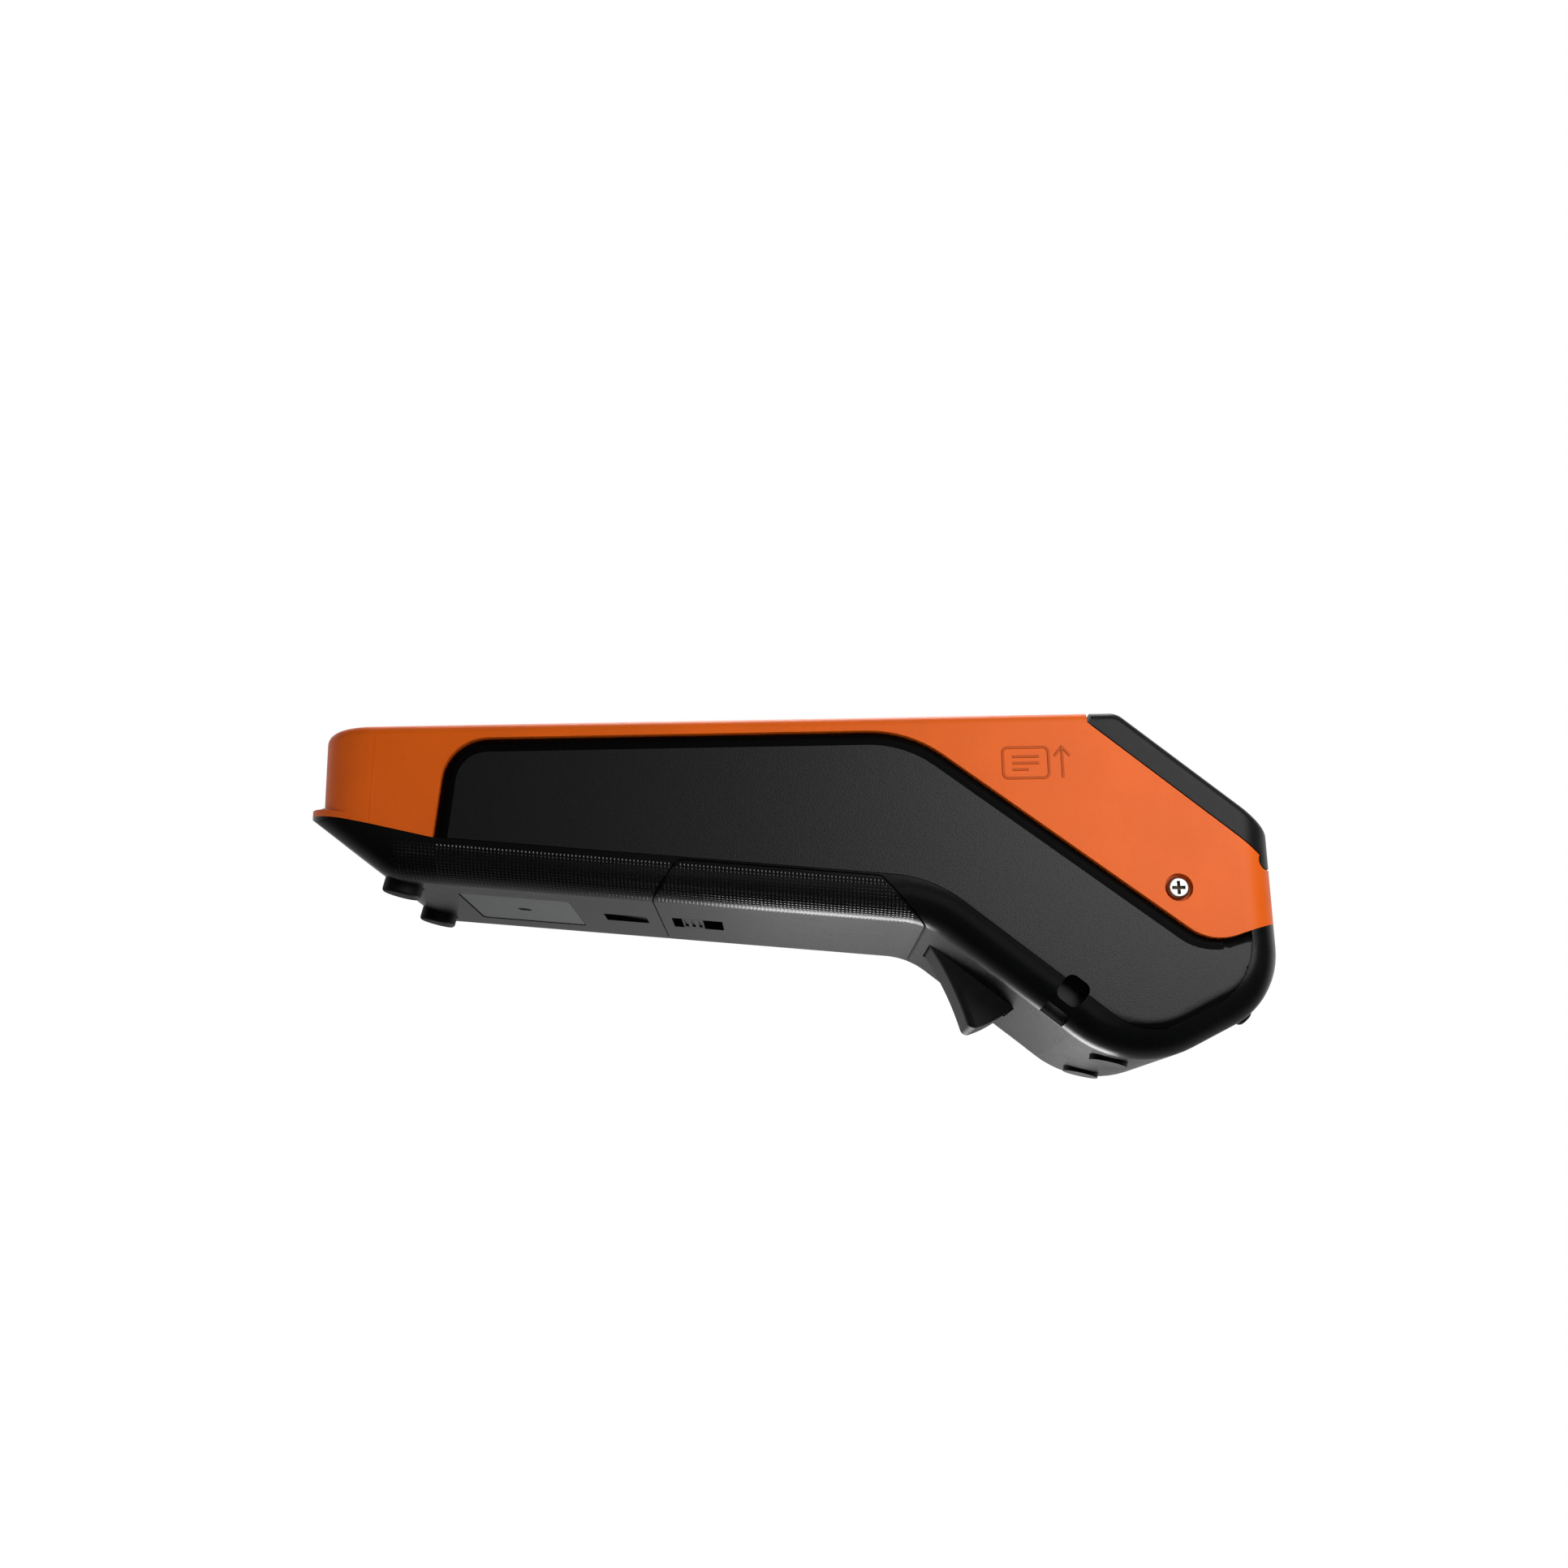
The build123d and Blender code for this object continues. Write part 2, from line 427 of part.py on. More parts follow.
def lower_shell():
    roof = shift(BROW, -LID_SLOPE, -WALL - 2 * GAP)
    top = (0, -WALL - GAP)
    side = sharp((LINER_START, BELOW), (LINER_START, top[1]), meet(top, 0, roof, -LID_SLOPE),
                 meet(roof, -LID_SLOPE, (BEYOND, 0), 90), (BEYOND, BELOW))
    liner = slab(side, -LINER_OUT, LINER_OUT) & plan(
        LINER_START, NOSE - SKIN - GAP, LINER_OUT, 0, NOSE_CORNER - SKIN - GAP, BELOW, ABOVE)
    shell = (LOWER_BODY & (slab(lower_face(), -HALF, HALF) + liner)) - CAVITY
    lug = rod(PIVOT, LUG / 2, TRIGGER_WIDTH / 2 + GAP, TRIGGER_WIDTH / 2 + GAP + LUG_THICK) + slab(
        sharp((PIVOT[0] - LUG / 2, PIVOT[1]), (PIVOT[0] + LUG / 2, PIVOT[1]),
              (PIVOT[0] + 1.5 * LUG, PIVOT[1] - 2 * LUG), (PIVOT[0] - LUG / 2, PIVOT[1] - LUG)),
        TRIGGER_WIDTH / 2 + GAP, TRIGGER_WIDTH / 2 + GAP + LUG_THICK)
    eye_half = EYE_WIDE / 2 + WALL
    eye_box = on_neck(EYE_RUN) * block(
        -eye_half, eye_half, -LINER_OUT + GAP, -HALF + EYE_DEEP + WALL, 0, 2 * EYE_RISE)
    shell += both(lug & LOWER_BODY)
    shell += both(eye_box & LOWER_BODY)
    shell -= eye_side() + eye_under()
    shell -= slab(cover_face(GAP / 2), -BODY_WIDTH, BODY_WIDTH)
    shell -= slab(trigger_face(SLOT_GAP), -TRIGGER_WIDTH / 2 - GAP, TRIGGER_WIDTH / 2 + GAP)
    shell -= rod(PIVOT, TRIGGER_PIN / 2, -LINER_IN, LINER_IN)
    shell -= on_plate() * Pos(0, 0, -5) * extrude(RectangleRounded(PLATE_LONG, PLATE_WIDE, 1.5), 5)
    shell -= on_plate() * Cylinder(PLATE_HOLE / 2, WALL)
    shell -= on_grip(THUMB_X) * Rot(0, THUMB_TILT, 0) * Box(THUMB_LONG, THUMB_WIDE, 2 * THUMB_DEEP)
    shell -= front_feet(GAP) + belly_pads(GAP / 2) + nose_bumpers(GAP / 2)
    shell -= rod(HINGE, HINGE_IN + GAP, -HALF, HALF)
    return shell - both(rod(SCREW, SCREW_SHANK / 2, -HALF, -LINER_IN))


def side_panel():
    """Inlaid right-hand panel with its border rounded off along the orange shell."""
    face = offset(panel_face(), -SEAM)
    panel = LOWER_BODY & slab(face, -HALF, -SKIN_IN - SEAM)
    rim = [e for e in panel.edges() if abs(e.center().Y + HALF) < 0.01 and on_upper_border(e.center())]
    return fillet(rim, PANEL_EDGE) - eye_side()


def on_upper_border(point):
    """True on the panel's left, top and strap borders."""
    left = point.X < PANEL[1][0] + PANEL_ROUNDS[1]
    lower = meet(NECK, -NECK_SLOPE, (point.X, 0), 90)[1]
    return (left and point.Z > PANEL[0][1] + 2) or (
        not left and point.X < PANEL[4][0] - 1 and point.Z > lower + 25 and point.Z > -STRAP_Z - 6)


def roll_lid():
    lid = UPPER_BODY & slab(lid_face(), -HALF, HALF)
    under = shift(BROW, -LID_SLOPE, -WALL)
    inner = sharp((0, -WALL), meet((0, -WALL), 0, under, -LID_SLOPE),
                  meet(under, -LID_SLOPE, (NOSE - WALL, 0), 90), (NOSE - WALL, BELOW), (0, BELOW))
    room = plan(0, NOSE - WALL, SKIN_IN, 0, NOSE_CORNER - SKIN, BELOW, ABOVE)
    lid -= slab(inner, -SKIN_IN, SKIN_IN) & room
    lid -= block(HINGE[0], NOSE + 1, -HALF, HALF, BELOW, HINGE[1])
    lid += rod(HINGE, HINGE_IN, -HALF, HALF) & UPPER_BODY
    arm = rod(PLATEN, BUSH_OD / 2 + 1.6, LABEL_HALF + ARM_ROOM, LABEL_HALF + ARM_ROOM + ARM_THICK) + block(
        PLATEN[0] - BUSH_OD / 2, PLATEN[0] + BUSH_OD / 2 + 1.6, LABEL_HALF + ARM_ROOM,
        LABEL_HALF + ARM_ROOM + ARM_THICK, PLATEN[1], -WALL / 2)
    lid += both(arm) & UPPER_BODY
    lid -= both(rod(PLATEN, BUSH_OD / 2, LABEL_HALF, LABEL_HALF + ARM_ROOM + 2 * ARM_THICK))
    lid -= rod(PLATEN, MODULE * (PLATEN_TEETH / 2 + 1) + GAP, GEAR_IN - GAP, GEAR_OUT + 2 * GAP)
    lid -= rod(HINGE, HINGE_IN + GAP, -KNUCKLE / 2 - GAP, KNUCKLE / 2 + GAP)
    return lid - rod(HINGE, HINGE_PIN / 2 + RUN, -PIN_REACH, PIN_REACH)


def hinge_pin():
    return rod(HINGE, HINGE_PIN / 2, -PIN_REACH + GAP, PIN_REACH - GAP)


def display_window():
    face = RectangleRounded(WINDOW_LENGTH - 2 * SEAM, WINDOW_WIDTH - 2 * SEAM, WINDOW_ROUND)
    return Pos(WINDOW_X, 0, -WINDOW_THICK) * extrude(face, WINDOW_THICK - SEAM)


def display_module():
    rise = BOARD_DROP - WALL - GAP - DISPLAY_GLASS
    tray = extrude(RectangleRounded(WINDOW_LENGTH - 2, WINDOW_WIDTH - 2, 2), rise)
    face = RectangleRounded(WINDOW_LENGTH - WINDOW_LEDGE, WINDOW_WIDTH - WINDOW_LEDGE, 1)
    glass = extrude(face, DISPLAY_GLASS)
    return Pos(WINDOW_X, 0, -BOARD_DROP) * (tray + Pos(0, 0, rise) * glass)


def main_board():
    right, half = TOP_LENGTH - BOARD_BACK, SKIN_IN - BOARD_SIDE
    face = Pos((BOARD_LEFT + right) / 2, 0) * RectangleRounded(right - BOARD_LEFT, 2 * half, 4)
    board = Pos(0, 0, -BOARD_DROP - BOARD_THICK) * extrude(face, BOARD_THICK)
    for x, y in key_places():
        board += Pos(x, y, -BOARD_DROP) * Cylinder(DOME_OD / 2, DOME_HIGH, align=UP)
    for x, y in boss_places():
        board -= Pos(x, y, -BOARD_DROP) * Cylinder(BOSS_BORE / 2 + RUN, 4 * BOARD_THICK)
    return board


def board_screws():
    screws = Part()
    for x, y in boss_places():
        low = Pos(x, y, -BOARD_DROP - BOARD_THICK)
        screws += low * Cylinder(BOSS_BORE / 2, BOARD_THICK + 4, align=UP)
        screws += low * Pos(0, 0, -1.4) * Cylinder(BOSS_BORE, 1.4, align=UP)
    return screws


def key(x, y):
    """Key cap with its flange under the top plate and a stem over the switch dome."""
    cap = extrude(RectangleRounded(KEY_LENGTH, KEY_WIDTH, KEY_ROUND), WALL + GAP + KEY_PROUD)
    cap = fillet(cap.faces().sort_by(Axis.Z)[-1].edges(), KEY_PROUD / 2)
    flange = extrude(RectangleRounded(
        KEY_LENGTH + 2 * KEY_FLANGE, KEY_WIDTH + 2 * KEY_FLANGE, KEY_ROUND + KEY_FLANGE), 1)
    stem = BOARD_DROP - WALL - GAP - 1 - DOME_HIGH - KEY_TRAVEL - GAP
    shape = cap + Pos(0, 0, -1) * flange + Pos(0, 0, -1 - stem) * Cylinder(DOME_OD / 3, stem, align=UP)
    return Pos(x, y, -WALL - GAP) * shape


def step_from(point, angle, distance):
    return (point[0] + distance * cosd(angle), point[1] + distance * sind(angle))


def gear(center, teeth, tooth_angle, y_low, y_high, bore):
    """Spur gear with involute flanks; one tooth points along tooth_angle."""
    pitch, base = MODULE * teeth / 2, MODULE * teeth / 2 * cosd(20)
    tip, root = pitch + 0.8 * MODULE, pitch - 1.1 * MODULE
    half = 90.0 / teeth - math.degrees(MESH_PLAY / 2 / pitch) + math.degrees(math.tan(math.radians(20))) - 20

    def flank(radius):
        pressure = math.degrees(math.acos(min(1.0, base / radius)))
        return half - (math.degrees(math.tan(math.radians(pressure))) - pressure)
    radii = [root, max(base, root + 0.1), pitch, tip]
    points = []
    for n in range(teeth):
        middle = tooth_angle + n * 360.0 / teeth
        for sign, order in ((-1, radii), (1, reversed(radii))):
            points += [step_from((0, 0), middle + sign * flank(r), r) for r in order]
    return slab(Pos(*center) * (make_face(Polyline(*points, close=True)) - Circle(bore)), y_low, y_high)


GEAR_IN = LABEL_HALF + GEAR_ROOM
GEAR_OUT = GEAR_IN + GEAR_WIDTH
FRAME_IN = LABEL_HALF + ARM_ROOM + GAP
IDLER = step_from(PLATEN, IDLER_TURN, MODULE * (PLATEN_TEETH + IDLER_TEETH) / 2 + MESH_PLAY)
PINION = step_from(IDLER, PINION_TURN, MODULE * (IDLER_TEETH + PINION_TEETH) / 2 + MESH_PLAY)
IDLER_TOOTH = IDLER_TURN + 180 - 180.0 / IDLER_TEETH
PHASE = (PINION_TURN - IDLER_TOOTH) * IDLER_TEETH / 360 - 0.5
PINION_TOOTH = PINION_TURN + 180 + PHASE * 360 / PINION_TEETH


def platen_gear():
    return gear(PLATEN, PLATEN_TEETH, IDLER_TURN, GEAR_IN, GEAR_OUT, SHAFT / 2)


def idler_gear():
    return gear(IDLER, IDLER_TEETH, IDLER_TOOTH, GEAR_IN, GEAR_OUT, PIN / 2 + RUN)


def motor_pinion():
    wheel = gear(PINION, PINION_TEETH, PINION_TOOTH, GEAR_IN, GEAR_OUT, SHAFT / 4)
    return wheel + rod(PINION, SHAFT / 4, FRAME_IN + RUN, GEAR_OUT + GAP)


def platen_shaft():
    return rod(PLATEN, SHAFT / 2, -LABEL_HALF - ARM_ROOM - ARM_THICK - GAP, GEAR_OUT + GAP)


def platen_roller():
    half = LABEL_HALF + ARM_ROOM / 2
    return rod(PLATEN, PLATEN_OD / 2, -half, half) - rod(PLATEN, SHAFT / 2, -half, half)


def platen_bushes():
    low, high = LABEL_HALF + ARM_ROOM - GAP, LABEL_HALF + ARM_ROOM + ARM_THICK
    return both(rod(PLATEN, BUSH_OD / 2, low, high) - rod(PLATEN, SHAFT / 2 + RUN, low, high))


def print_frame():
    back, front, top = TOP_LENGTH - FRAME_BACK, TOP_LENGTH + FRAME_FRONT, -WALL
    edge = FRAME_IN + PLATE
    side = outline(((back, top), 0), ((front, top), 1), ((front, IDLER[1] - 4), 3),
                   ((PINION[0] + 4, -FRAME_DROP), 3), ((back - 4, -FRAME_DROP), 3), ((back - 4, top - 8), 3))
    plate = slab(side, FRAME_IN, edge)
    cross = TOP_LENGTH - CROSS_BACK
    frame = both(plate) + block(back, cross + 2 * PLATE, -edge, edge, top - PLATE, top)
    frame += block(cross, cross + PLATE, -edge, edge, -CROSS_DROP, top)
    frame -= rod(PINION, SHAFT / 2, -edge - 1, edge + 1)
    return frame - rod(IDLER, PIN / 2, 0, edge + 1)


def idler_pin():
    return rod(IDLER, PIN / 2, FRAME_IN, GEAR_OUT + GAP)


def motor():
    body = rod(PINION, MOTOR_OD / 2, FRAME_IN - MOTOR_LENGTH, FRAME_IN)
    return chamfer(body.edges().sort_by(Axis.Y)[0], 0.8)


def print_head():
    half = LABEL_HALF + GAP
    face, back = TOP_LENGTH + HEAD_FACE, TOP_LENGTH - HEAD_BACK
    profile = outline(((back, -HEAD_TOP), 0), ((face - 1.2, -HEAD_TOP), 0), ((face, -HEAD_TOP - 1.6), 0.4),
                      ((face, -HEAD_LOW + 1.6), 0.4), ((face - 1.6, -HEAD_LOW), 0), ((back, -HEAD_LOW), 0))
    return slab(profile, -half, half)


def head_springs():
    front, back = TOP_LENGTH - HEAD_BACK, TOP_LENGTH - CROSS_BACK + PLATE
    ring = extrude(Plane.YZ * (Circle(2.4) - Circle(1.7)), front - back)
    return both(Pos(back, -LABEL_HALF * 0.56, -PLATEN_Z) * ring)


def tear_bar():
    half, count = LABEL_HALF + 1 - SEAM, int(2 * LABEL_HALF / TEAR_PITCH)
    start = -count * TEAR_PITCH / 2
    edge = [(start + n * TEAR_PITCH / 2, -(n % 2) * TEAR_PITCH / 3) for n in range(2 * count + 1)]
    corners = [(-half, -TEAR_DEEP), (-half, 0), *edge, (half, 0), (half, -TEAR_DEEP)]
    face = make_face(Polyline(*corners, close=True))
    return Pos(TOP_LENGTH - TEAR_THICK, 0, 0) * extrude(Plane.YZ * face, TEAR_THICK)


def label_roll():
    wound, hole = (rod(ROLL, r, -LABEL_HALF, LABEL_HALF) for r in (ROLL_OD / 2, CORE_OD / 2 + RUN))
    return wound - hole


def roll_core():
    half, bore = LABEL_HALF + GAP, CORE_OD / 2 - CORE_WALL
    return rod(ROLL, CORE_OD / 2, -half, half) - rod(ROLL, bore, -half, half)


def roll_spindle():
    shoulder, end = LABEL_HALF + 8 * GAP, LINER_IN - 2 * GAP
    barrel = rod(ROLL, CORE_OD / 2 - CORE_WALL - RUN, -shoulder, shoulder)
    return barrel + rod(ROLL, SPINDLE_END / 2, -end, end)


def spindle_cradles():
    left, right = ROLL[0] - CRADLE / 2, ROLL[0] + CRADLE / 2
    high, low = ROLL[1] + CRADLE / 2, ROLL[1] - CRADLE * 0.6
    plate = outline(((left, high), 1), ((right, high), 1), ((right, low), 3), ((left, low), 3))
    bore = SPINDLE_END / 2 + RUN
    slot = Pos(*ROLL) * Circle(bore) + Pos(ROLL[0], ROLL[1] + CRADLE / 2) * Rectangle(2 * bore, CRADLE)
    return both(slab(plate - slot, LINER_IN - CRADLE_THICK, LINER_IN))


def trigger():
    wedge = slab(trigger_face(), -TRIGGER_WIDTH / 2, TRIGGER_WIDTH / 2)
    low = [e for e in wedge.edges()
           if e.center().Z < PIVOT[1] - 2 * TRIGGER_BOSS and e.center().X < PIVOT[0] + TRIGGER_BOSS]
    wedge = fillet(low, TRIGGER_ROUND)
    wedge += rod(PIVOT, TRIGGER_BOSS / 2, -TRIGGER_WIDTH / 2, TRIGGER_WIDTH / 2)
    return wedge - rod(PIVOT, TRIGGER_PIN / 2 + RUN, -TRIGGER_WIDTH, TRIGGER_WIDTH)


def trigger_pin():
    half = TRIGGER_WIDTH / 2 + GAP + 2 * LUG_THICK
    return rod(PIVOT, TRIGGER_PIN / 2, -half, half)


def trigger_spring():
    low = TRIGGER_WIDTH / 2 + 2 * GAP + LUG_THICK
    coil, hole = (rod(PIVOT, TRIGGER_PIN / 2 + r, low, low + 2.2) for r in (1, RUN))
    return coil - hole


def trigger_switch():
    case = Box(SWITCH_LONG, SWITCH_WIDE, SWITCH_HIGH)
    return on_neck(SWITCH_RUN) * Pos(0, 0, WALL + SWITCH_HIGH / 2) * case


def battery_cover():
    cover = (LOWER_BODY & slab(lower_face(), -HALF, HALF)) - CAVITY
    cover &= slab(cover_face(-GAP / 2), -BODY_WIDTH, BODY_WIDTH)
    opening = on_grip(LATCH_X + LATCH_LONG / 2) * Box(LATCH_LONG, LATCH_WIDE, 4 * WALL)
    return cover - opening


def battery_latch():
    """Slider: a thumb tab in the cover's opening on a plate that runs inside the cover."""
    tab = Pos(LATCH_TAB / 2, 0, WALL / 2 + SEAM) * Box(LATCH_TAB, LATCH_WIDE - 2 * GAP, WALL + 2 * SEAM)
    for n in range(3):
        tab -= Pos((n + 0.5) * LATCH_TAB / 3, 0, 0) * Box(LATCH_TAB / 6, LATCH_WIDE - 4, 2 * SEAM + 0.6)
    plate = Pos(LATCH_LONG / 2, 0, WALL + GAP + 0.8) * Box(LATCH_LONG - 1, LATCH_WIDE + 4, 1.6)
    return on_grip(LATCH_X) * (Pos(LATCH_LEAD, 0, 0) * tab + plate)


def battery_pack():
    cells = Box(PACK_LENGTH, PACK_WIDTH, PACK_HEIGHT)
    cells = fillet(cells.edges().filter_by(Axis.X), PACK_HEIGHT / 2 - 0.5)
    return on_grip(PACK_X) * Pos(0, 0, WALL + GAP + PACK_HEIGHT / 2) * cells


def battery_tray():
    """Ceiling and walls of the battery bay, hung from a rim between the side walls."""
    long, wide = PACK_LENGTH + 2 * PACK_ROOM, PACK_WIDTH + 2 * PACK_ROOM
    low, high = GRIP_ROLL + 1, WALL + GAP + PACK_HEIGHT + PACK_ROOM
    outer = block(-long / 2 - TRAY, long / 2 + TRAY, -wide / 2 - TRAY, wide / 2 + TRAY, low, high + TRAY)
    rim = block(-long / 2 - 2 * TRAY, long / 2 + 2 * TRAY, -LINER_IN + GAP, LINER_IN - GAP, low, low + TRAY)
    return on_grip(PACK_X) * (outer + rim - block(-long / 2, long / 2, -wide / 2, wide / 2, 0, high))


def battery_contacts():
    leaves = Part()
    end = -PACK_LENGTH / 2 - PACK_ROOM
    for n in (-1, 0, 1):
        leaves += block(end, end + PACK_ROOM - GAP, n * 7 - 1.6, n * 7 + 1.6, GRIP_ROLL + 2, GRIP_ROLL + 8)
    return on_grip(PACK_X) * leaves


def blank_plate():
    face = RectangleRounded(PLATE_LONG - 2 * GAP, PLATE_WIDE - 2 * GAP, 1.2) - Circle(PLATE_HOLE / 2)
    return on_plate() * Pos(0, 0, -PLATE_THICK) * extrude(face, PLATE_THICK)


def buzzer():
    """Sounder can under the board, with its sound hole."""
    can = fillet(Cylinder(BUZZER_OD / 2, BUZZER_HIGH, align=UP).edges().sort_by(Axis.Z)[0], 0.6)
    hole = Cylinder(1, BUZZER_HIGH)
    return Pos(BUZZER_X, 0, -BOARD_DROP - BOARD_THICK - BUZZER_HIGH) * (can - hole)


def label_sensor():
    """Gap sensor hung from the cross plate, looking at the label's path."""
    front, low = TOP_LENGTH - CROSS_BACK + PLATE, -CROSS_DROP
    tip, half = front + SENSOR_REACH, SENSOR_WIDE / 2
    arm = block(front, tip, -half, half, low - SENSOR_HIGH, low + SENSOR_HIGH)
    eye = block(tip - 1, tip + 1, -half / 2, half / 2, low - SENSOR_HIGH * 0.7, low - SENSOR_HIGH * 0.2)
    return arm - eye


def front_feet(clearance=0.0):
    at = Pos(FOOT[0], -FOOT_Y, FOOT[1]) * Rot(0, TILT, 0)
    foot = Cylinder(FOOT_OD / 2 + clearance, FOOT_SUNK, align=UP)
    if not clearance:
        foot = fillet(foot.edges().sort_by(Axis.Z)[0], 0.8)
    return both(at * foot)


def belly_pads(clearance=0.0):
    reach = BELLY_ROUND + PAD_PROUD
    at = Pos(BELLY[0] - reach * sind(TILT), -PAD_Y, BELLY[1] - reach * cosd(TILT)) * Rot(0, TILT, 0)
    return both(at * Cylinder(PAD_OD / 2 + clearance, PAD_PROUD + PAD_SUNK, align=UP))


def nose_bumpers(clearance=0.0):
    point = step_from(NOSE_BEND, BUMPER_ANGLE, NOSE_ROUND - BUMPER_PROUD)
    at = Pos(point[0], -BUMPER_Y, point[1]) * Rot(0, 90 - BUMPER_ANGLE, 0)
    dome = Cylinder(BUMPER_OD / 2 + clearance, 2 * BUMPER_PROUD, align=UP)
    if not clearance:
        dome = fillet(dome.edges().sort_by(Axis.Z)[-1], BUMPER_PROUD * 0.9)
    return both(at * dome)


def strap_screws():
    outside, under = -HALF + SCREW_SINK, -HALF + SCREW_SINK + SCREW_HEAD
    head = rod(SCREW, SCREW_OD / 2, outside, under)
    head = fillet(head.edges().sort_by(Axis.Y)[0], 0.7)
    cross = Pos(SCREW[0], outside, SCREW[1]) * (Box(3.2, 2.0, 0.8) + Box(0.8, 2.0, 3.2))
    return both(head - cross + rod(SCREW, SCREW_SHANK / 2, under, -LINER_IN - GAP))


def pieces():
    """Every piece by name, in the device frame."""
    right = side_panel()
    made = {
        "upper_shell": upper_shell(), "lower_shell": lower_shell(),
        "side_panel_right": right, "side_panel_left": mirror(right, Plane.XZ),
        "roll_lid": roll_lid(), "hinge_pin": hinge_pin(),
        "display_window": display_window(), "display_module": display_module(),
        "main_board": main_board(), "board_screws": board_screws(),
        "print_frame": print_frame(), "print_head": print_head(), "head_springs": head_springs(),
        "motor": motor(), "motor_pinion": motor_pinion(),
        "idler_pin": idler_pin(), "idler_gear": idler_gear(),
        "platen_shaft": platen_shaft(), "platen_roller": platen_roller(), "platen_gear": platen_gear(),
        "platen_bushes": platen_bushes(), "tear_bar": tear_bar(),
        "label_roll": label_roll(), "roll_core": roll_core(), "roll_spindle": roll_spindle(),
        "spindle_cradles": spindle_cradles(),
        "trigger": trigger(), "trigger_pin": trigger_pin(), "trigger_spring": trigger_spring(),
        "trigger_switch": trigger_switch(),
        "battery_cover": battery_cover(), "battery_latch": battery_latch(), "battery_pack": battery_pack(),
        "battery_tray": battery_tray(), "battery_contacts": battery_contacts(),
        "strap_screws": strap_screws(), "front_feet": front_feet(), "belly_pads": belly_pads(),
        "nose_bumpers": nose_bumpers(), "blank_plate": blank_plate(),
        "buzzer": buzzer(), "label_sensor": label_sensor(),
    }
    for name, (x, y) in zip(KEY_NAMES, key_places()):
        made["key_" + name] = key(x, y)
    return made


def resting(made):
    """Tip all pieces onto feet and pads, with the origin under the middle of the length."""
    tip = Rot(0, -TILT, 0)
    floor = FOOT[0] * sind(TILT) + FOOT[1] * cosd(TILT)
    spans = [(tip * made[name]).bounding_box() for name in ("lower_shell", "upper_shell", "roll_lid")]
    middle = (min(b.min.X for b in spans) + max(b.max.X for b in spans)) / 2
    return {name: Pos(-middle, 0, -floor) * tip * piece for name, piece in made.items()}


os.makedirs("parts", exist_ok=True)
for name, piece in resting(pieces()).items():
    export_step(piece, f"parts/{name}.step")
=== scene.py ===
import json
import math

import bmesh
import bpy
from mathutils import Matrix, Vector
from mathutils.bvhtree import BVHTree

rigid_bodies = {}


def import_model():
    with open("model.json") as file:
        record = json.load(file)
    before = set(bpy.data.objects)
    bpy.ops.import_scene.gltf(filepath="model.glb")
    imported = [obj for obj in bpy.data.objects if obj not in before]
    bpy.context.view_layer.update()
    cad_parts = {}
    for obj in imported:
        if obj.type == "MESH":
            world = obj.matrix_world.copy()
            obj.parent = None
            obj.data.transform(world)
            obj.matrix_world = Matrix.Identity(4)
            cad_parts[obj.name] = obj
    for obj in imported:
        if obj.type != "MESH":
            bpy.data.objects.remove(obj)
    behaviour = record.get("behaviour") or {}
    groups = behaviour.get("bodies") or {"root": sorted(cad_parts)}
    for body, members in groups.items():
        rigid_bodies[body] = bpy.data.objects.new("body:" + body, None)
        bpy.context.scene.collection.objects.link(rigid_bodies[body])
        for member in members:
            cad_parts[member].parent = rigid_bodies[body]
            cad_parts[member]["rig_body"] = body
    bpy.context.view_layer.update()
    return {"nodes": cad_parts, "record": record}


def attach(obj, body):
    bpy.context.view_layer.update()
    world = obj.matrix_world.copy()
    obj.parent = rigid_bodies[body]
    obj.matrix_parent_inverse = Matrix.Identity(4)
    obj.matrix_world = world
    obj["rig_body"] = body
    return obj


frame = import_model()
nodes = frame["nodes"]
scene = bpy.context.scene
scene.view_settings.view_transform = "Standard"

# Device frame of the part (millimetres, flat top at z = 0) and how it is tipped onto its feet
TILT, MIDDLE, FLOOR = math.radians(14.336032), 119.143175, -33.544973
REST = Matrix.Translation((-MIDDLE, 0, -FLOOR)) @ Matrix.Rotation(-TILT, 4, "Y")
BACK = REST.inverted()
HALF, TOP_LENGTH, GRIP_DEPTH = 38.0, 187.0, 35.2
GRIP_SLOPE = math.tan(math.radians(5.75))
ROLL = 9.0  # radius of the grip's rolled lower edges
SIDES = ((-1, "right"), (1, "left"))


def place(x, y, z):
    """Device millimetres to row metres."""
    return (REST @ Vector((x, y, z))) / 1000


def heading(x, y, z):
    """Device direction in the row frame."""
    return (REST.to_3x3() @ Vector((x, y, z))).normalized()


def device_box(node):
    """Lowest and highest corner of a node in device millimetres."""
    points = [BACK @ (v.co * 1000) for v in nodes[node].data.vertices]
    return [Vector([pick(p[i] for p in points) for i in range(3)]) for pick in (min, max)]


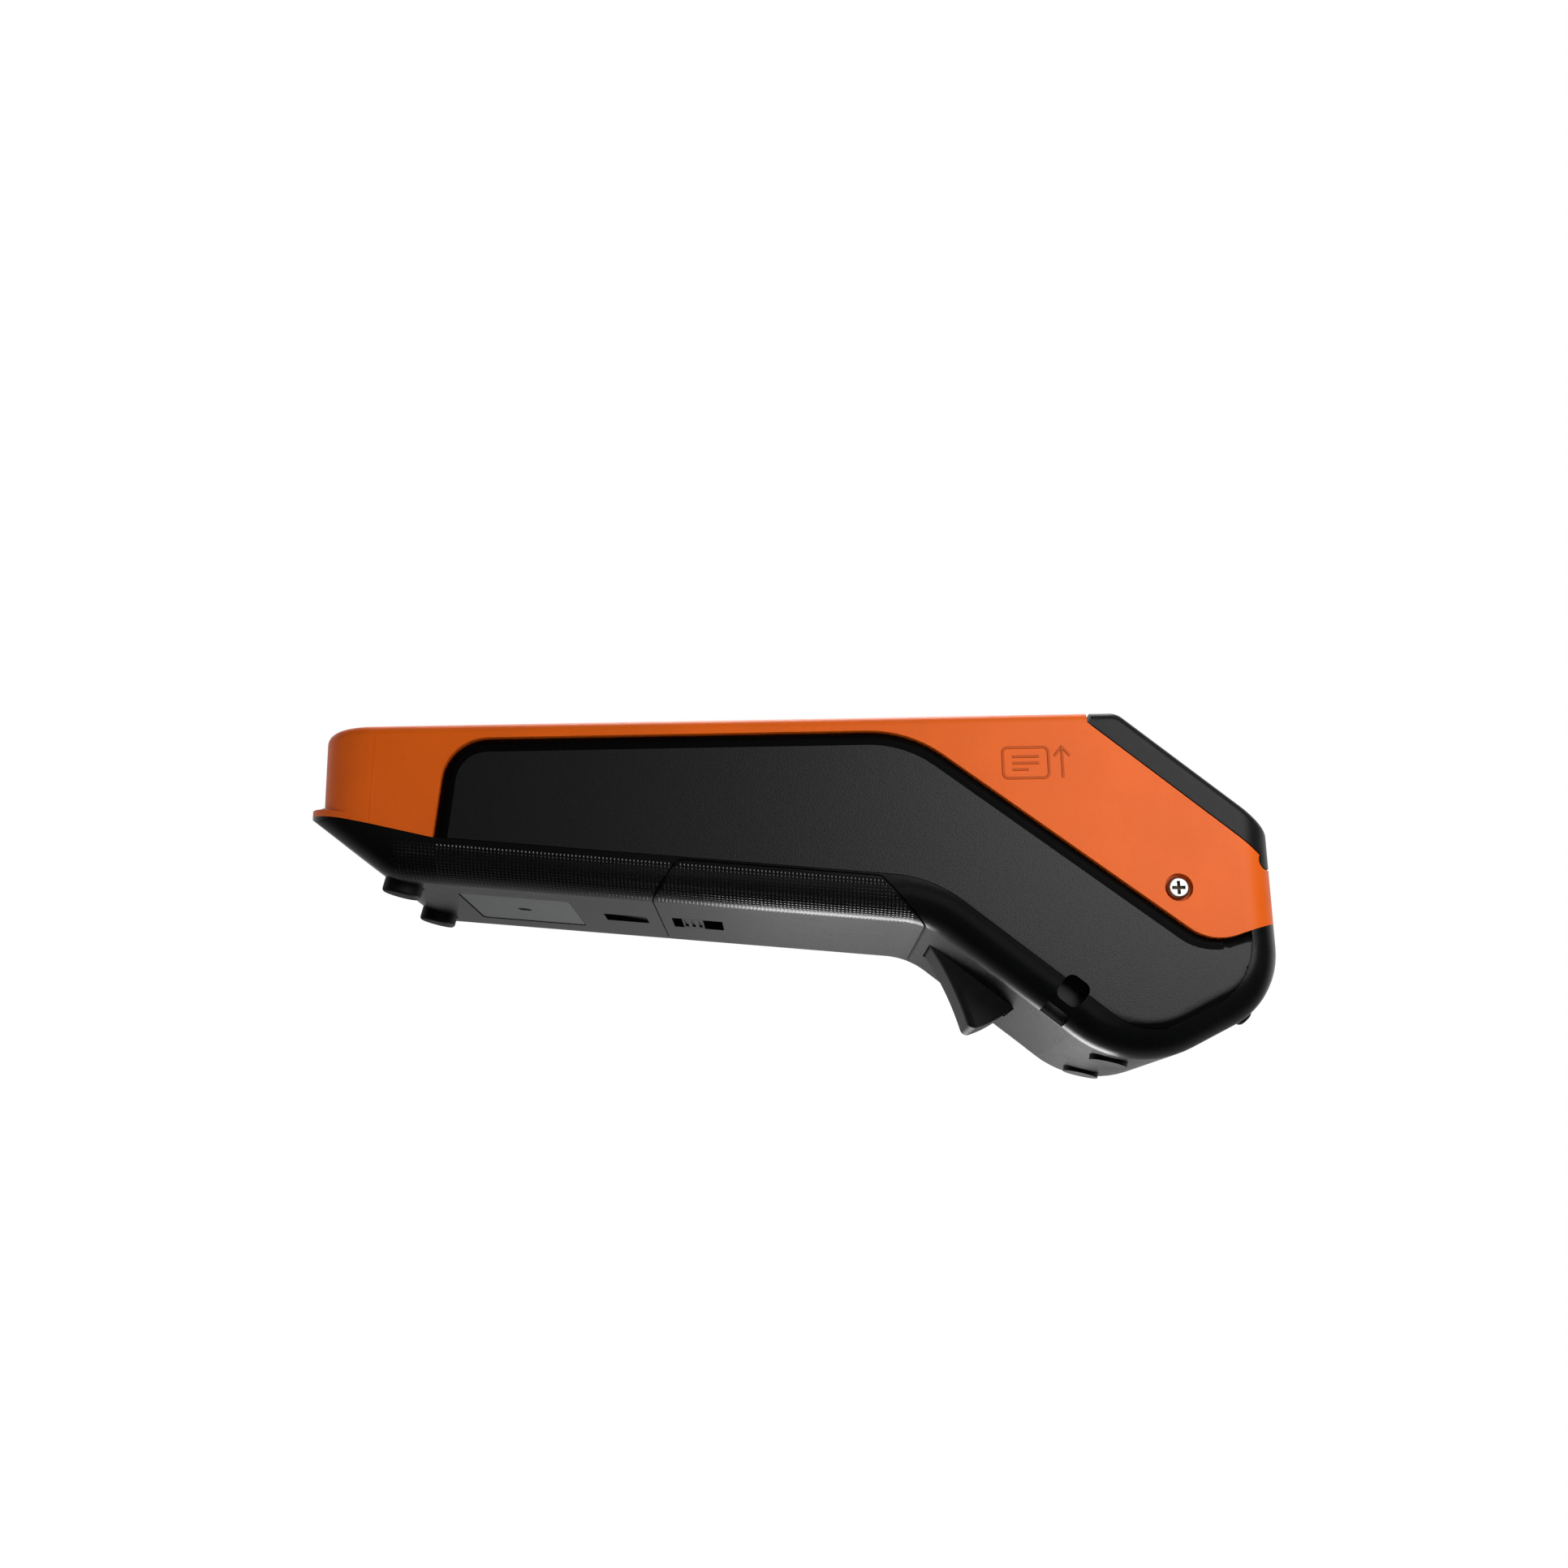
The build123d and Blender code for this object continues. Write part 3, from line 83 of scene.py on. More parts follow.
# Materials
class Shader:
    """A Principled material with small helpers for its procedural inputs."""

    def __init__(self, name, **sockets):
        self.material = bpy.data.materials.new(name)
        self.material.use_nodes = True
        self.tree = self.material.node_tree
        self.bsdf = self.tree.nodes["Principled BSDF"]
        for socket, value in sockets.items():
            self.bsdf.inputs[socket.replace("_", " ")].default_value = value
        self.coords = self.add("ShaderNodeTexCoord").outputs["Object"]

    def add(self, kind, links=None, **values):
        node = self.tree.nodes.new(kind)
        for key, value in values.items():
            if hasattr(node, key):
                setattr(node, key, value)
            else:
                node.inputs[key.replace("_", " ")].default_value = value
        for key, source in (links or {}).items():
            self.tree.links.new(source, node.inputs[key])
        return node

    def noise(self, size, detail=2.0, stretch=None):
        """Noise with features of about this size in metres."""
        vector = self.coords
        if stretch:
            mapping = self.add("ShaderNodeMapping", {"Vector": vector}, Scale=stretch)
            vector = mapping.outputs["Vector"]
        made = self.add("ShaderNodeTexNoise", {"Vector": vector}, Scale=1 / size, Detail=detail)
        return made.outputs["Fac"]

    def spread(self, source, low, high, start=0.3, end=0.7):
        """Maps start..end of the source to low..high."""
        node = self.add("ShaderNodeMapRange", {"Value": source})
        for index, value in ((1, start), (2, end), (3, low), (4, high)):
            node.inputs[index].default_value = value
        return node.outputs["Result"]

    def tint(self, source, first, second, start=0.3, end=0.7):
        """Maps start..end of the source to two colours and what lies between."""
        ramp = self.add("ShaderNodeValToRGB", {"Fac": source})
        stops = zip(ramp.color_ramp.elements, (start, end), (first, second))
        for element, position, colour in stops:
            element.position, element.color = position, (*colour, 1)
        return ramp.outputs["Color"]

    def base(self, source):
        self.tree.links.new(source, self.bsdf.inputs["Base Color"])

    def rough(self, source):
        self.tree.links.new(source, self.bsdf.inputs["Roughness"])

    def bump(self, source, depth):
        """Raises the surface by depth in metres; a second call adds to the first."""
        before = self.bsdf.inputs["Normal"].links
        links = {"Height": source}
        if before:
            links["Normal"] = before[0].from_socket
        node = self.add("ShaderNodeBump", links, Strength=1.0, Distance=depth)
        self.tree.links.new(node.outputs["Normal"], self.bsdf.inputs["Normal"])


def shade(colour, factor):
    return tuple(c * factor for c in colour)


# Metres over which the colour and the gloss of a moulding drift
COLOUR_SIZE, GLOSS_SIZE = 0.02, 0.004


def moulded(name, colour, rough, grain, depth, drift=0.12, gloss=0.02, **sockets):
    """Moulded plastic: fine grain, slight colour drift, faint changes of gloss."""
    s = Shader(name, **sockets)
    s.base(s.tint(s.noise(COLOUR_SIZE, 3), shade(colour, 1 - drift), shade(colour, 1 + drift)))
    s.rough(s.spread(s.noise(GLOSS_SIZE, 4), rough - gloss, rough + gloss))
    s.bump(s.noise(grain, 3), depth)
    return s.material


# Side panel: its border and its flat are told apart by how squarely the surface faces sideways
BORDER_FACING, FLAT_FACING = 0.985, 0.998
# The border's colour is painted shade: the rounded border is coloured darker than the flat
BORDER_SHADE_COLOUR, BORDER_ROUGH, BORDER_GLOSS = (0.0012, 0.0013, 0.0013), 0.55, 0.05
PANEL_DARK, PANEL_LIGHT = (0.0050, 0.0054, 0.0053), (0.0095, 0.0101, 0.0098)
PANEL_ROUGH, PANEL_GLOSS, PANEL_GRIT, PANEL_DEPTH = 0.45, 0.46, 0.00033, 0.00005
# Colour sockets of a mix node
MIX_FIRST, MIX_SECOND, MIX_RESULT = 6, 7, 2


def panel_plastic():
    """Spark-eroded grain on the flat of the side panel; its rounded border is painted darker, as
    painted shade.
    """
    s = Shader("panel_plastic", Specular_IOR_Level=PANEL_GLOSS)
    normal = s.add("ShaderNodeTexCoord").outputs["Normal"]
    across = s.add("ShaderNodeSeparateXYZ", {0: normal}).outputs["Y"]
    facing = s.add("ShaderNodeMath", {0: across}, operation="ABSOLUTE").outputs[0]
    flat = s.spread(facing, 0, 1, BORDER_FACING, FLAT_FACING)
    grit = s.noise(PANEL_GRIT, 3)
    speckle = s.tint(grit, PANEL_DARK, PANEL_LIGHT, start=0.35, end=0.65)
    # Painted shade: the mix gives the rounded border its darker colour
    mixed = s.add("ShaderNodeMix", {"Factor": flat}, data_type="RGBA")
    mixed.inputs[MIX_FIRST].default_value = (*BORDER_SHADE_COLOUR, 1)
    s.tree.links.new(speckle, mixed.inputs[MIX_SECOND])
    s.base(mixed.outputs[MIX_RESULT])
    s.rough(s.spread(flat, BORDER_ROUGH, PANEL_ROUGH, start=0, end=1))
    gloss = s.spread(flat, BORDER_GLOSS, PANEL_GLOSS, start=0, end=1)
    s.tree.links.new(gloss, s.bsdf.inputs["Specular IOR Level"])
    high = s.add("ShaderNodeMath", {0: grit, 1: flat}, operation="MULTIPLY").outputs[0]
    s.bump(high, PANEL_DEPTH)
    return s.material


# Strap screws: metres from the middle plane to the head, and how far below it the recess is
# painted dark, as painted shade and grime
SCREW_FACE = (HALF - 0.4) / 1000
RECESS_DARK, RECESS_BRIGHT = 0.0009, 0.0006
RECESS_SHADE_AND_GRIME, NICKEL = (0.035, 0.027, 0.022), (0.47, 0.46, 0.44)


def screw_metal():
    """Nickel plate, painted darker down in the cross recess as painted shade and grime."""
    s = Shader("screw_nickel", Metallic=1.0)
    out = s.add("ShaderNodeSeparateXYZ", {0: s.coords}).outputs["Y"]
    reach = s.add("ShaderNodeMath", {0: out}, operation="ABSOLUTE").outputs[0]
    # Painted shade and grime: the colour goes dark down in the cross recess
    face = s.spread(reach, 0, 1, SCREW_FACE - RECESS_DARK, SCREW_FACE - RECESS_BRIGHT)
    s.base(s.tint(face, RECESS_SHADE_AND_GRIME, NICKEL, start=0, end=1))
    s.rough(s.spread(s.noise(0.0006, 3), 0.28, 0.40))
    s.bump(s.noise(0.0004, 3), 0.000012)
    return s.material


def lid_plastic():
    """Dark satin plastic with rubbed, dusty streaks."""
    s = Shader("lid_plastic", Specular_IOR_Level=0.22)
    dust = s.noise(0.0035, 6, stretch=(1, 0.4, 1))
    dark, dusty = (0.0070, 0.0074, 0.0076), (0.0150, 0.0155, 0.0156)
    s.base(s.tint(dust, dark, dusty, start=0.52, end=0.85))
    s.rough(s.spread(dust, 0.36, 0.41))
    s.bump(s.noise(0.0005, 3), 0.000015)
    return s.material


def metal(name, colour, rough, stretch=(1, 30, 1)):
    """Turned or brushed metal with fine lines."""
    s = Shader(name, Metallic=1.0)
    lines = s.noise(0.002, 4, stretch)
    s.base(s.tint(s.noise(0.004, 3), shade(colour, 0.85), colour))
    s.rough(s.spread(lines, rough - 0.08, rough + 0.12))
    s.bump(lines, 0.00002)
    return s.material


# Plastics: colour, roughness, grain size and depth in metres, drift of colour, drift of gloss.
# Metals: colour, roughness, how often the lines repeat along each axis
ORANGE, BLACK = (0.80, 0.126, 0.006), (0.0042, 0.0045, 0.0044)
ORANGE_GLOSS, BLACK_GLOSS = 0.26, 0.24
materials = {
    "orange": moulded("orange_plastic", ORANGE, 0.42, 0.00045, 0.00003, 0.05,
                      Specular_IOR_Level=ORANGE_GLOSS),
    "black": moulded("black_plastic", BLACK, 0.28, 0.0006, 0.0000012, 0.10, 0.01,
                     Specular_IOR_Level=BLACK_GLOSS),
    # The plate film's pale grey stands in for the sheen of its smooth face: painted sheen
    "plate": moulded("plate_film_painted_sheen", (0.200, 0.206, 0.207), 0.40, 0.0009, 0.000006, 0.05),
    "key": moulded("key_rubber", (0.060, 0.063, 0.066), 0.55, 0.0003, 0.00002),
    "key_accent": moulded("key_orange", shade(ORANGE, 0.95), 0.52, 0.0003, 0.00002),
    "inner": moulded("inner_plastic", (0.022, 0.022, 0.024), 0.45, 0.0008, 0.00002),
    "gear": moulded("gear_plastic", (0.70, 0.68, 0.61), 0.42, 0.0006, 0.00001),
    "cell": moulded("cell_sleeve", (0.020, 0.032, 0.060), 0.30, 0.004, 0.00004, 0.15),
    "rubber": moulded("foot_rubber", (0.0075, 0.0075, 0.0078), 0.62, 0.0004, 0.00004),
    "platen": moulded("platen_rubber", (0.045, 0.046, 0.050), 0.60, 0.00035, 0.00002),
    "head": moulded("head_ceramic", (0.62, 0.60, 0.55), 0.22, 0.002, 0.000005),
    "steel": metal("turned_steel", (0.52, 0.53, 0.54), 0.30),
    "spring": metal("spring_steel", (0.40, 0.41, 0.43), 0.28),
    "nickel": metal("bright_nickel", (0.66, 0.65, 0.62), 0.24, (6, 6, 6)),
    "sheet": metal("plated_sheet", (0.46, 0.47, 0.47), 0.36, (20, 1, 1)),
    "brass": metal("turned_brass", (0.62, 0.43, 0.15), 0.26),
    "contact": metal("gold_leaf", (0.78, 0.60, 0.27), 0.22),
}

# Middle of the label roll, and how far apart its rings lie in metres
ROLL_MIDDLE, RING_PITCH = (TOP_LENGTH + 13, 0, -53), 0.0004


def label_paper():
    """Wound label paper: tight rings on the ends, faint lines on the rim."""
    s = Shader("label_paper", Roughness=0.62)
    moved = s.add("ShaderNodeVectorMath", {0: s.coords}, operation="SUBTRACT")
    moved.inputs[1].default_value = place(*ROLL_MIDDLE)
    flat = s.add("ShaderNodeVectorMath", {0: moved.outputs[0]}, operation="MULTIPLY")
    flat.inputs[1].default_value = (1, 0, 1)
    length = s.add("ShaderNodeVectorMath", {0: flat.outputs[0]}, operation="LENGTH")
    wound = s.add("ShaderNodeMath", {0: length.outputs["Value"]}, operation="MULTIPLY")
    wound.inputs[1].default_value = 2 * math.pi / RING_PITCH
    rings = s.add("ShaderNodeMath", {0: wound.outputs[0]}, operation="SINE").outputs[0]
    gap, sheet = (0.60, 0.60, 0.56), (0.80, 0.80, 0.77)
    s.base(s.tint(s.spread(rings, 0, 1, start=-1, end=1), gap, sheet, start=0, end=1))
    s.bump(rings, 0.00003)
    s.bump(s.noise(0.0008, 4), 0.00001)
    return s.material


def card_core():
    """Brown card with fibres that run round the core."""
    s = Shader("card_core", Roughness=0.8)
    fibre = s.noise(0.0012, 5, stretch=(1, 6, 1))
    s.base(s.tint(fibre, (0.26, 0.17, 0.09), (0.42, 0.30, 0.18)))
    s.bump(fibre, 0.00006)
    return s.material


def circuit_board():
    """Green solder mask over a web of tracks."""
    s = Shader("circuit_board", Roughness=0.34)
    cells = s.add("ShaderNodeTexVoronoi", {"Vector": s.coords}, Scale=420.0, distance="MANHATTAN")
    tracks = cells.outputs["Distance"]
    light, dark = (0.030, 0.150, 0.060), (0.012, 0.075, 0.030)
    s.base(s.tint(tracks, light, dark, start=0.25, end=0.32))
    s.bump(tracks, 0.00004)
    return s.material


def liquid_crystal():
    """Grey-green panel with its fine dot grid."""
    s = Shader("liquid_crystal", Roughness=0.22)
    dots = s.add("ShaderNodeTexChecker", {"Vector": s.coords}, Scale=2400.0)
    dot, gap = (0.235, 0.275, 0.205), (0.265, 0.305, 0.230)
    s.base(s.tint(dots.outputs["Fac"], dot, gap, start=0, end=1))
    s.bump(s.noise(0.004, 2), 0.00001)
    return s.material


def clear_window():
    """Clear film: mostly see-through, with a faint gloss of its own."""
    s = Shader("clear_window", IOR=1.46, Alpha=0.14)
    s.rough(s.spread(s.noise(0.003, 4), 0.0, 0.015))
    s.base(s.tint(s.noise(0.02), (0.020, 0.022, 0.022), (0.026, 0.028, 0.028)))
    return s.material


def printed(name, colour):
    """Printing ink, slightly uneven."""
    s = Shader(name)
    s.base(s.tint(s.noise(0.001, 3), shade(colour, 0.9), colour))
    s.rough(s.spread(s.noise(0.0008, 3), 0.35, 0.5))
    return s.material


materials.update(paper=label_paper(), card=card_core(), board=circuit_board(),
                 display=liquid_crystal(), window=clear_window(), panel=panel_plastic(),
                 lid=lid_plastic())
LEGEND = printed("legend_white", (0.78, 0.78, 0.76))
LEGEND_DARK = printed("legend_dark", (0.03, 0.035, 0.03))
# Film in the border's darker colour, which carries its painted shade on past the rounding
BORDER_SHADE_FILM = moulded("border_painted_shade", BORDER_SHADE_COLOUR, BORDER_ROUGH, 0.0006, 0.000003, 0.1,
                       Specular_IOR_Level=BORDER_GLOSS)
WINDOW_INK = printed("window_ink", (0.006, 0.006, 0.007))

for part in frame["record"]["subparts"]:
    obj = nodes[part["node"]]
    obj.data.materials.clear()
    obj.data.materials.append(materials[part["material_slot"]])
nodes["strap_screws"].data.materials[0] = screw_metal()
nodes["trigger"].data.materials[0] = moulded(
    "trigger_plastic", (0.028, 0.029, 0.029), 0.45, 0.00042, 0.00005, 0.10,
    Specular_IOR_Level=0.3)


def piece(name, mesh, material, body):
    """Adds a mesh as a visible piece that moves with a body."""
    obj = bpy.data.objects.new(name, mesh)
    scene.collection.objects.link(obj)
    mesh.materials.clear()
    mesh.materials.append(material)
    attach(obj, body)
    return obj


def to_piece(bm, name, material, body):
    """Turns a finished bmesh into a piece."""
    bmesh.ops.recalc_face_normals(bm, faces=bm.faces)
    mesh = bpy.data.meshes.new(name)
    bm.to_mesh(mesh)
    bm.free()
    return piece(name, mesh, material, body)


# Dotted grain on the rolled lower edges: low pads in rows, seated on the shells by rays
def tree_of(node):
    """Tree of a node's facets, for rays."""
    mesh = nodes[node].data
    corners = [v.co.copy() for v in mesh.vertices]
    return BVHTree.FromPolygons(corners, [tuple(p.vertices) for p in mesh.polygons])


GRAIN_START, GRAIN_END, GRAIN_FIRST, GRAIN_ROWS = 17.2, 149.0, 0.9, 21
GRAIN_PITCH, GRAIN_ROW, GRAIN_HIGH = 0.92, 0.80, 0.115
# The pads lose height over GRAIN_FADE and are flat GRAIN_FLAT down the edge
GRAIN_FLAT, GRAIN_FADE = 17.6, 12.0
# Only GRAIN_BOW of the height before GRAIN_FULL, and none on the lower shell past GRAIN_COVER
GRAIN_FULL, GRAIN_BOW, GRAIN_COVER = 30.0, 0.45, 112.0
# Half length and half height of a pad's foot, share of it that its top takes, metres it is sunk
PAD_LONG, PAD_HIGH, PAD_TOP, PAD_SUNK = 0.38, 0.31, 0.25, 0.000015
# Rays start this many millimetres outside; metres they reach, and how far off the shell may lie
RAY_OUT, RAY_REACH, RAY_SLACK = 3, 0.0045, 0.00025
shells = {"lower_shell": tree_of("lower_shell"), "battery_cover": tree_of("battery_cover")}


def grip_point(x, run, side):
    """Point and outward direction on the grip's rolled edge, run down from its upper tangent."""
    low = -GRIP_DEPTH - x * GRIP_SLOPE
    turn = min(run / ROLL, math.pi / 2)
    over = max(0.0, run - ROLL * math.pi / 2)
    across = HALF - ROLL + ROLL * math.cos(turn) - over
    point = Vector((x, side * across, low + ROLL - ROLL * math.sin(turn)))
    return point, Vector((0, side * math.cos(turn), -math.sin(turn)))


def carrier(x, run, side):
    """Shell that carries this point, with the point and normal on it, or None at a cut-out."""
    point, out = grip_point(x, run, side)
    start, aim = place(*(point + out * RAY_OUT)), -heading(*out)
    for name, tree in shells.items():
        hit, normal, _, distance = tree.ray_cast(start, aim, RAY_REACH)
        if hit is not None and abs(distance - RAY_OUT / 1000) < RAY_SLACK:
            return name, hit, normal
    return None


# The pads are a lighter copy of the black plastic: painted highlight, so that their glints show
GRAIN_HIGHLIGHT_PLASTIC = moulded("grain_highlight_plastic", shade(BLACK, 1.5), 0.22, 0.0006, 0.0000015, 0.10, 0.02,
                        Specular_IOR_Level=0.7)


def pad(bm, feet, high):
    """One pad over its four feet, open below."""
    middle = sum((f[1] for f in feet), Vector()) / 4
    low = [bm.verts.new(f[1] - f[2] * PAD_SUNK) for f in feet]
    top = [bm.verts.new(middle + (f[1] - middle) * PAD_TOP + f[2] * high / 1000) for f in feet]
    bm.faces.new(top)
    for a in range(4):
        b = (a + 1) % 4
        bm.faces.new((low[a], low[b], top[b], top[a]))


def grain():
    """Lays the pads in columns and rows on both sides, one piece for each shell."""
    made = {name: bmesh.new() for name in shells}
    for column in range(int((GRAIN_END - GRAIN_START) / GRAIN_PITCH)):
        for row in range(GRAIN_ROWS):
            for side, _ in SIDES:
                x = GRAIN_START + column * GRAIN_PITCH
                run = GRAIN_FIRST + row * GRAIN_ROW
                feet = [carrier(x + a * PAD_LONG, run + b * PAD_HIGH, side)
                        for a, b in ((-1, -1), (1, -1), (1, 1), (-1, 1))]
                if None in feet or len({f[0] for f in feet}) > 1:
                    continue
                shell = feet[0][0]
                if x > GRAIN_COVER and shell == "lower_shell":
                    continue
                fade = min(1.0, max(0.0, GRAIN_FLAT - run) / GRAIN_FADE) ** 2
                if x < GRAIN_FULL:
                    fade *= GRAIN_BOW
                pad(made[shell], feet, GRAIN_HIGH * fade)
    for name, bm in made.items():
        to_piece(bm, name + "_grain", GRAIN_HIGHLIGHT_PLASTIC, nodes[name]["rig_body"])


grain()

# A ridge's half width at its foot and at its top, as shares, and how deep its foot is sunk
RIDGE_FOOT, RIDGE_TOP, RIDGE_SUNK = 0.5, 0.24, 0.05
# A sharp corner widens a ridge no further than to 1 / MITRE
MITRE = 0.5


def ridge(bm, points, wide, high, side, closed=False):
    """Raised line along device x-z points on the flat side, with sloping flanks."""
    count = len(points)
    rings = []
    for i, point in enumerate(points):
        ahead = behind = None
        if closed or i + 1 < count:
            ahead = Vector(points[(i + 1) % count]) - Vector(point)
        if closed or i:
            behind = Vector(point) - Vector(points[i - 1])
        first, second = (v.normalized() for v in (behind or ahead, ahead or behind))
        along = (first + second).normalized()
        reach = Vector((-along.y, along.x)) / max(MITRE, along.dot(first))
        ring = []
        for offset, rise in ((-RIDGE_FOOT, -RIDGE_SUNK), (-RIDGE_TOP, high),
                             (RIDGE_TOP, high), (RIDGE_FOOT, -RIDGE_SUNK)):
            spot = Vector(point) + reach * offset * wide
            ring.append(bm.verts.new(place(spot.x, side * (HALF + rise), spot.y)))
        rings.append(ring)
    for i in range(count if closed else count - 1):
        a, b = rings[i], rings[(i + 1) % count]
        for k in range(4):
            bm.faces.new((a[k], a[(k + 1) % 4], b[(k + 1) % 4], b[k]))
    if not closed:
        bm.faces.new(rings[0])
        bm.faces.new(rings[-1])


def rounded(x, z, long, high, corner, steps=5):
    """Corner points of a rounded rectangle round (x, z)."""
    points = []
    for k, (sx, sz) in enumerate(((1, 1), (-1, 1), (-1, -1), (1, -1))):
        for j in range(steps + 1):
            turn = math.pi / 2 * (k + j / steps)
            points.append((x + sx * (long / 2 - corner) + corner * math.cos(turn),
                           z + sz * (high / 2 - corner) + corner * math.sin(turn)))
    return points


# Raised sign on the straps: a label with three lines, and an arrow beside it
# The sign's orange is a darker copy of the strap's: painted shade along the raised strokes
SIGN_SHADED_ORANGE = moulded("sign_painted_shade", shade(ORANGE, 0.66), 0.42, 0.00045, 0.00003, 0.05,
                      Specular_IOR_Level=ORANGE_GLOSS)
SIGN_X, SIGN_Z, SIGN_WIDE, SIGN_HIGH = 173.8, -12.6, 0.75, 0.24
SIGN_BACK, SIGN_LONG, SIGN_TALL, SIGN_CORNER = 2.2, 11.0, 7.6, 1.2
SIGN_LINES, LINE_BACK = ((1.5, 6.4), (-0.1, 6.4), (-1.7, 3.8)), 5.4
ARROW_SHAFT, ARROW_TIP = ((6.6, -3.8), (6.6, 3.5)), ((4.7, 1.6), (6.6, 3.8), (8.5, 1.6))
# Mould line where the end cap's slide met the skirt
MOULD_LINE, MOULD_WIDE, MOULD_HIGH = ((14.7, -3.2), (14.3, -14.0), (14.0, -24.6)), 0.40, 0.09
for side, word in SIDES:
    bm = bmesh.new()
    label = rounded(SIGN_X - SIGN_BACK, SIGN_Z, SIGN_LONG, SIGN_TALL, SIGN_CORNER)
    ridge(bm, label, SIGN_WIDE, SIGN_HIGH, side, closed=True)
    for row, reach in SIGN_LINES:
        start, z = SIGN_X - LINE_BACK, SIGN_Z + row
        ridge(bm, [(start, z), (start + reach, z)], SIGN_WIDE, SIGN_HIGH, side)
    for stroke in (ARROW_SHAFT, ARROW_TIP):
        points = [(SIGN_X + x, SIGN_Z + z) for x, z in stroke]
        ridge(bm, points, SIGN_WIDE, SIGN_HIGH, side)
    to_piece(bm, "label_sign_" + word, SIGN_SHADED_ORANGE, "housing")
    bm = bmesh.new()
    ridge(bm, MOULD_LINE, MOULD_WIDE, MOULD_HIGH, side)
    to_piece(bm, "mould_line_" + word, materials["orange"], "housing")

# How squarely a facet of the panel's flat faces sideways, at least, and one of its rounded border;
# metres that the flat may lie off the side
FLAT_LEAST, BENT_LEAST, FLAT_SLACK = 0.9995, 0.8, 1e-5


def border_line(node):
    """Device x-z points where a side panel's flat turns into its rounded border, in order."""
    mesh = nodes[node].data

    def key(vertex):
        """A corner's place in whole micrometres, the same for all facets that meet there."""
        return tuple(round(c * 1e6) for c in mesh.vertices[vertex].co)

    flat, bent = {}, set()
    for polygon in mesh.polygons:
        facing = abs(polygon.normal.y)
        keys = [key(v) for v in polygon.vertices]
        for pair in map(frozenset, zip(keys, keys[1:] + keys[:1])):
            if facing > FLAT_LEAST and abs(abs(polygon.center.y) - HALF / 1000) < FLAT_SLACK:
                flat[pair] = flat.get(pair, 0) + 1
            elif facing > BENT_LEAST:
                bent.add(pair)
    links = {}
    for pair, count in flat.items():
        if count == 1 and pair in bent:
            first, second = pair
            links.setdefault(first, []).append(second)
            links.setdefault(second, []).append(first)
    line = [min((k for k in links if len(links[k]) == 1), key=lambda k: k[0])]
    while True:
        ahead = [k for k in links[line[-1]] if k not in line]
        if not ahead:
            break
        line.append(ahead[0])
    points = [BACK @ (Vector(k) / 1000) for k in line]
    return [(p.x, p.z) for p in points]


# Painted shade: the dark border goes on past the rounding, as a film along the orange shell: its
# middle lies BORDER_IN inside the line where the flat ends, and runs out over its last
# BORDER_TAPER
BORDER_WIDE, BORDER_HIGH, BORDER_IN, BORDER_OUT = 2.1, 0.015, 0.35, -0.55
BORDER_LAST, BORDER_TAPER = 216.0, 9.0
for side, word in SIDES:
    line = [Vector(p) for p in border_line("side_panel_" + word)]
    line = line[:next((i for i, p in enumerate(line) if p.x > BORDER_LAST), len(line))]
    inner = []
    for i, point in enumerate(line):
        along = (line[min(i + 1, len(line) - 1)] - line[max(i - 1, 0)]).normalized()
        share = min(1.0, (BORDER_LAST - point.x) / BORDER_TAPER)
        shift = BORDER_OUT + (BORDER_IN - BORDER_OUT) * share
        inner.append(tuple(point + Vector((along.y, -along.x)) * shift))
    bm = bmesh.new()
    ridge(bm, inner, BORDER_WIDE, BORDER_HIGH, side)
    to_piece(bm, "painted_shade_border_" + word, BORDER_SHADE_FILM, "housing")

# Inset and corner radius of the printed border's two outlines, and half its thickness
INK_OUTLINES, INK_HALF = ((0.35, 2.7), (5.2, 1.6)), 0.02


def window_border():
    """Printed frame round the display, as a thin closed ring."""
    low, high = device_box("display_window")
    middle, size = (low + high) / 2, high - low
    bm = bmesh.new()
    rings = []
    for inset, corner in INK_OUTLINES:
        loop = rounded(middle.x, middle.y, size.x - 2 * inset, size.y - 2 * inset, corner)
        rings.append([[bm.verts.new(place(x, y, high.z + rise)) for x, y in loop]
                      for rise in (-INK_HALF, INK_HALF)])
    (outer_low, outer_high), (inner_low, inner_high) = rings
    count = len(outer_low)
    for i in range(count):
        j = (i + 1) % count
        for a, b in ((outer_high, inner_high), (inner_high, inner_low),
                     (inner_low, outer_low), (outer_low, outer_high)):
            bm.faces.new((a[i], a[j], b[j], b[i]))
    to_piece(bm, "window_border", WINDOW_INK, "housing")


window_border()

# Key legends and display digits: plain numbers and signs
LETTER_DEPTH, LETTER_STEPS = 0.03, 4
KEY_LETTER, OK_LETTER = 7.5, 6.0


def lettering(name, words, at, high, material, body):
    """Flat words on a face that looks along the device's z; they read from the end wall."""
    curve = bpy.data.curves.new(name, "FONT")
    curve.body, curve.size = words, high / 1000
    curve.align_x, curve.align_y = "CENTER", "CENTER"
    curve.extrude = LETTER_DEPTH / 1000
    curve.resolution_u = LETTER_STEPS
    shape = bpy.data.objects.new(name + "_curve", curve)
    scene.collection.objects.link(shape)
    bpy.context.view_layer.update()
    mesh = bpy.data.meshes.new_from_object(shape)
    bpy.data.objects.remove(shape)
    turn = Matrix((heading(0, -1, 0), heading(1, 0, 0), heading(0, 0, 1))).transposed().to_4x4()
    mesh.transform(Matrix.Translation(place(*at)) @ turn)
    return piece(name, mesh, material, body)


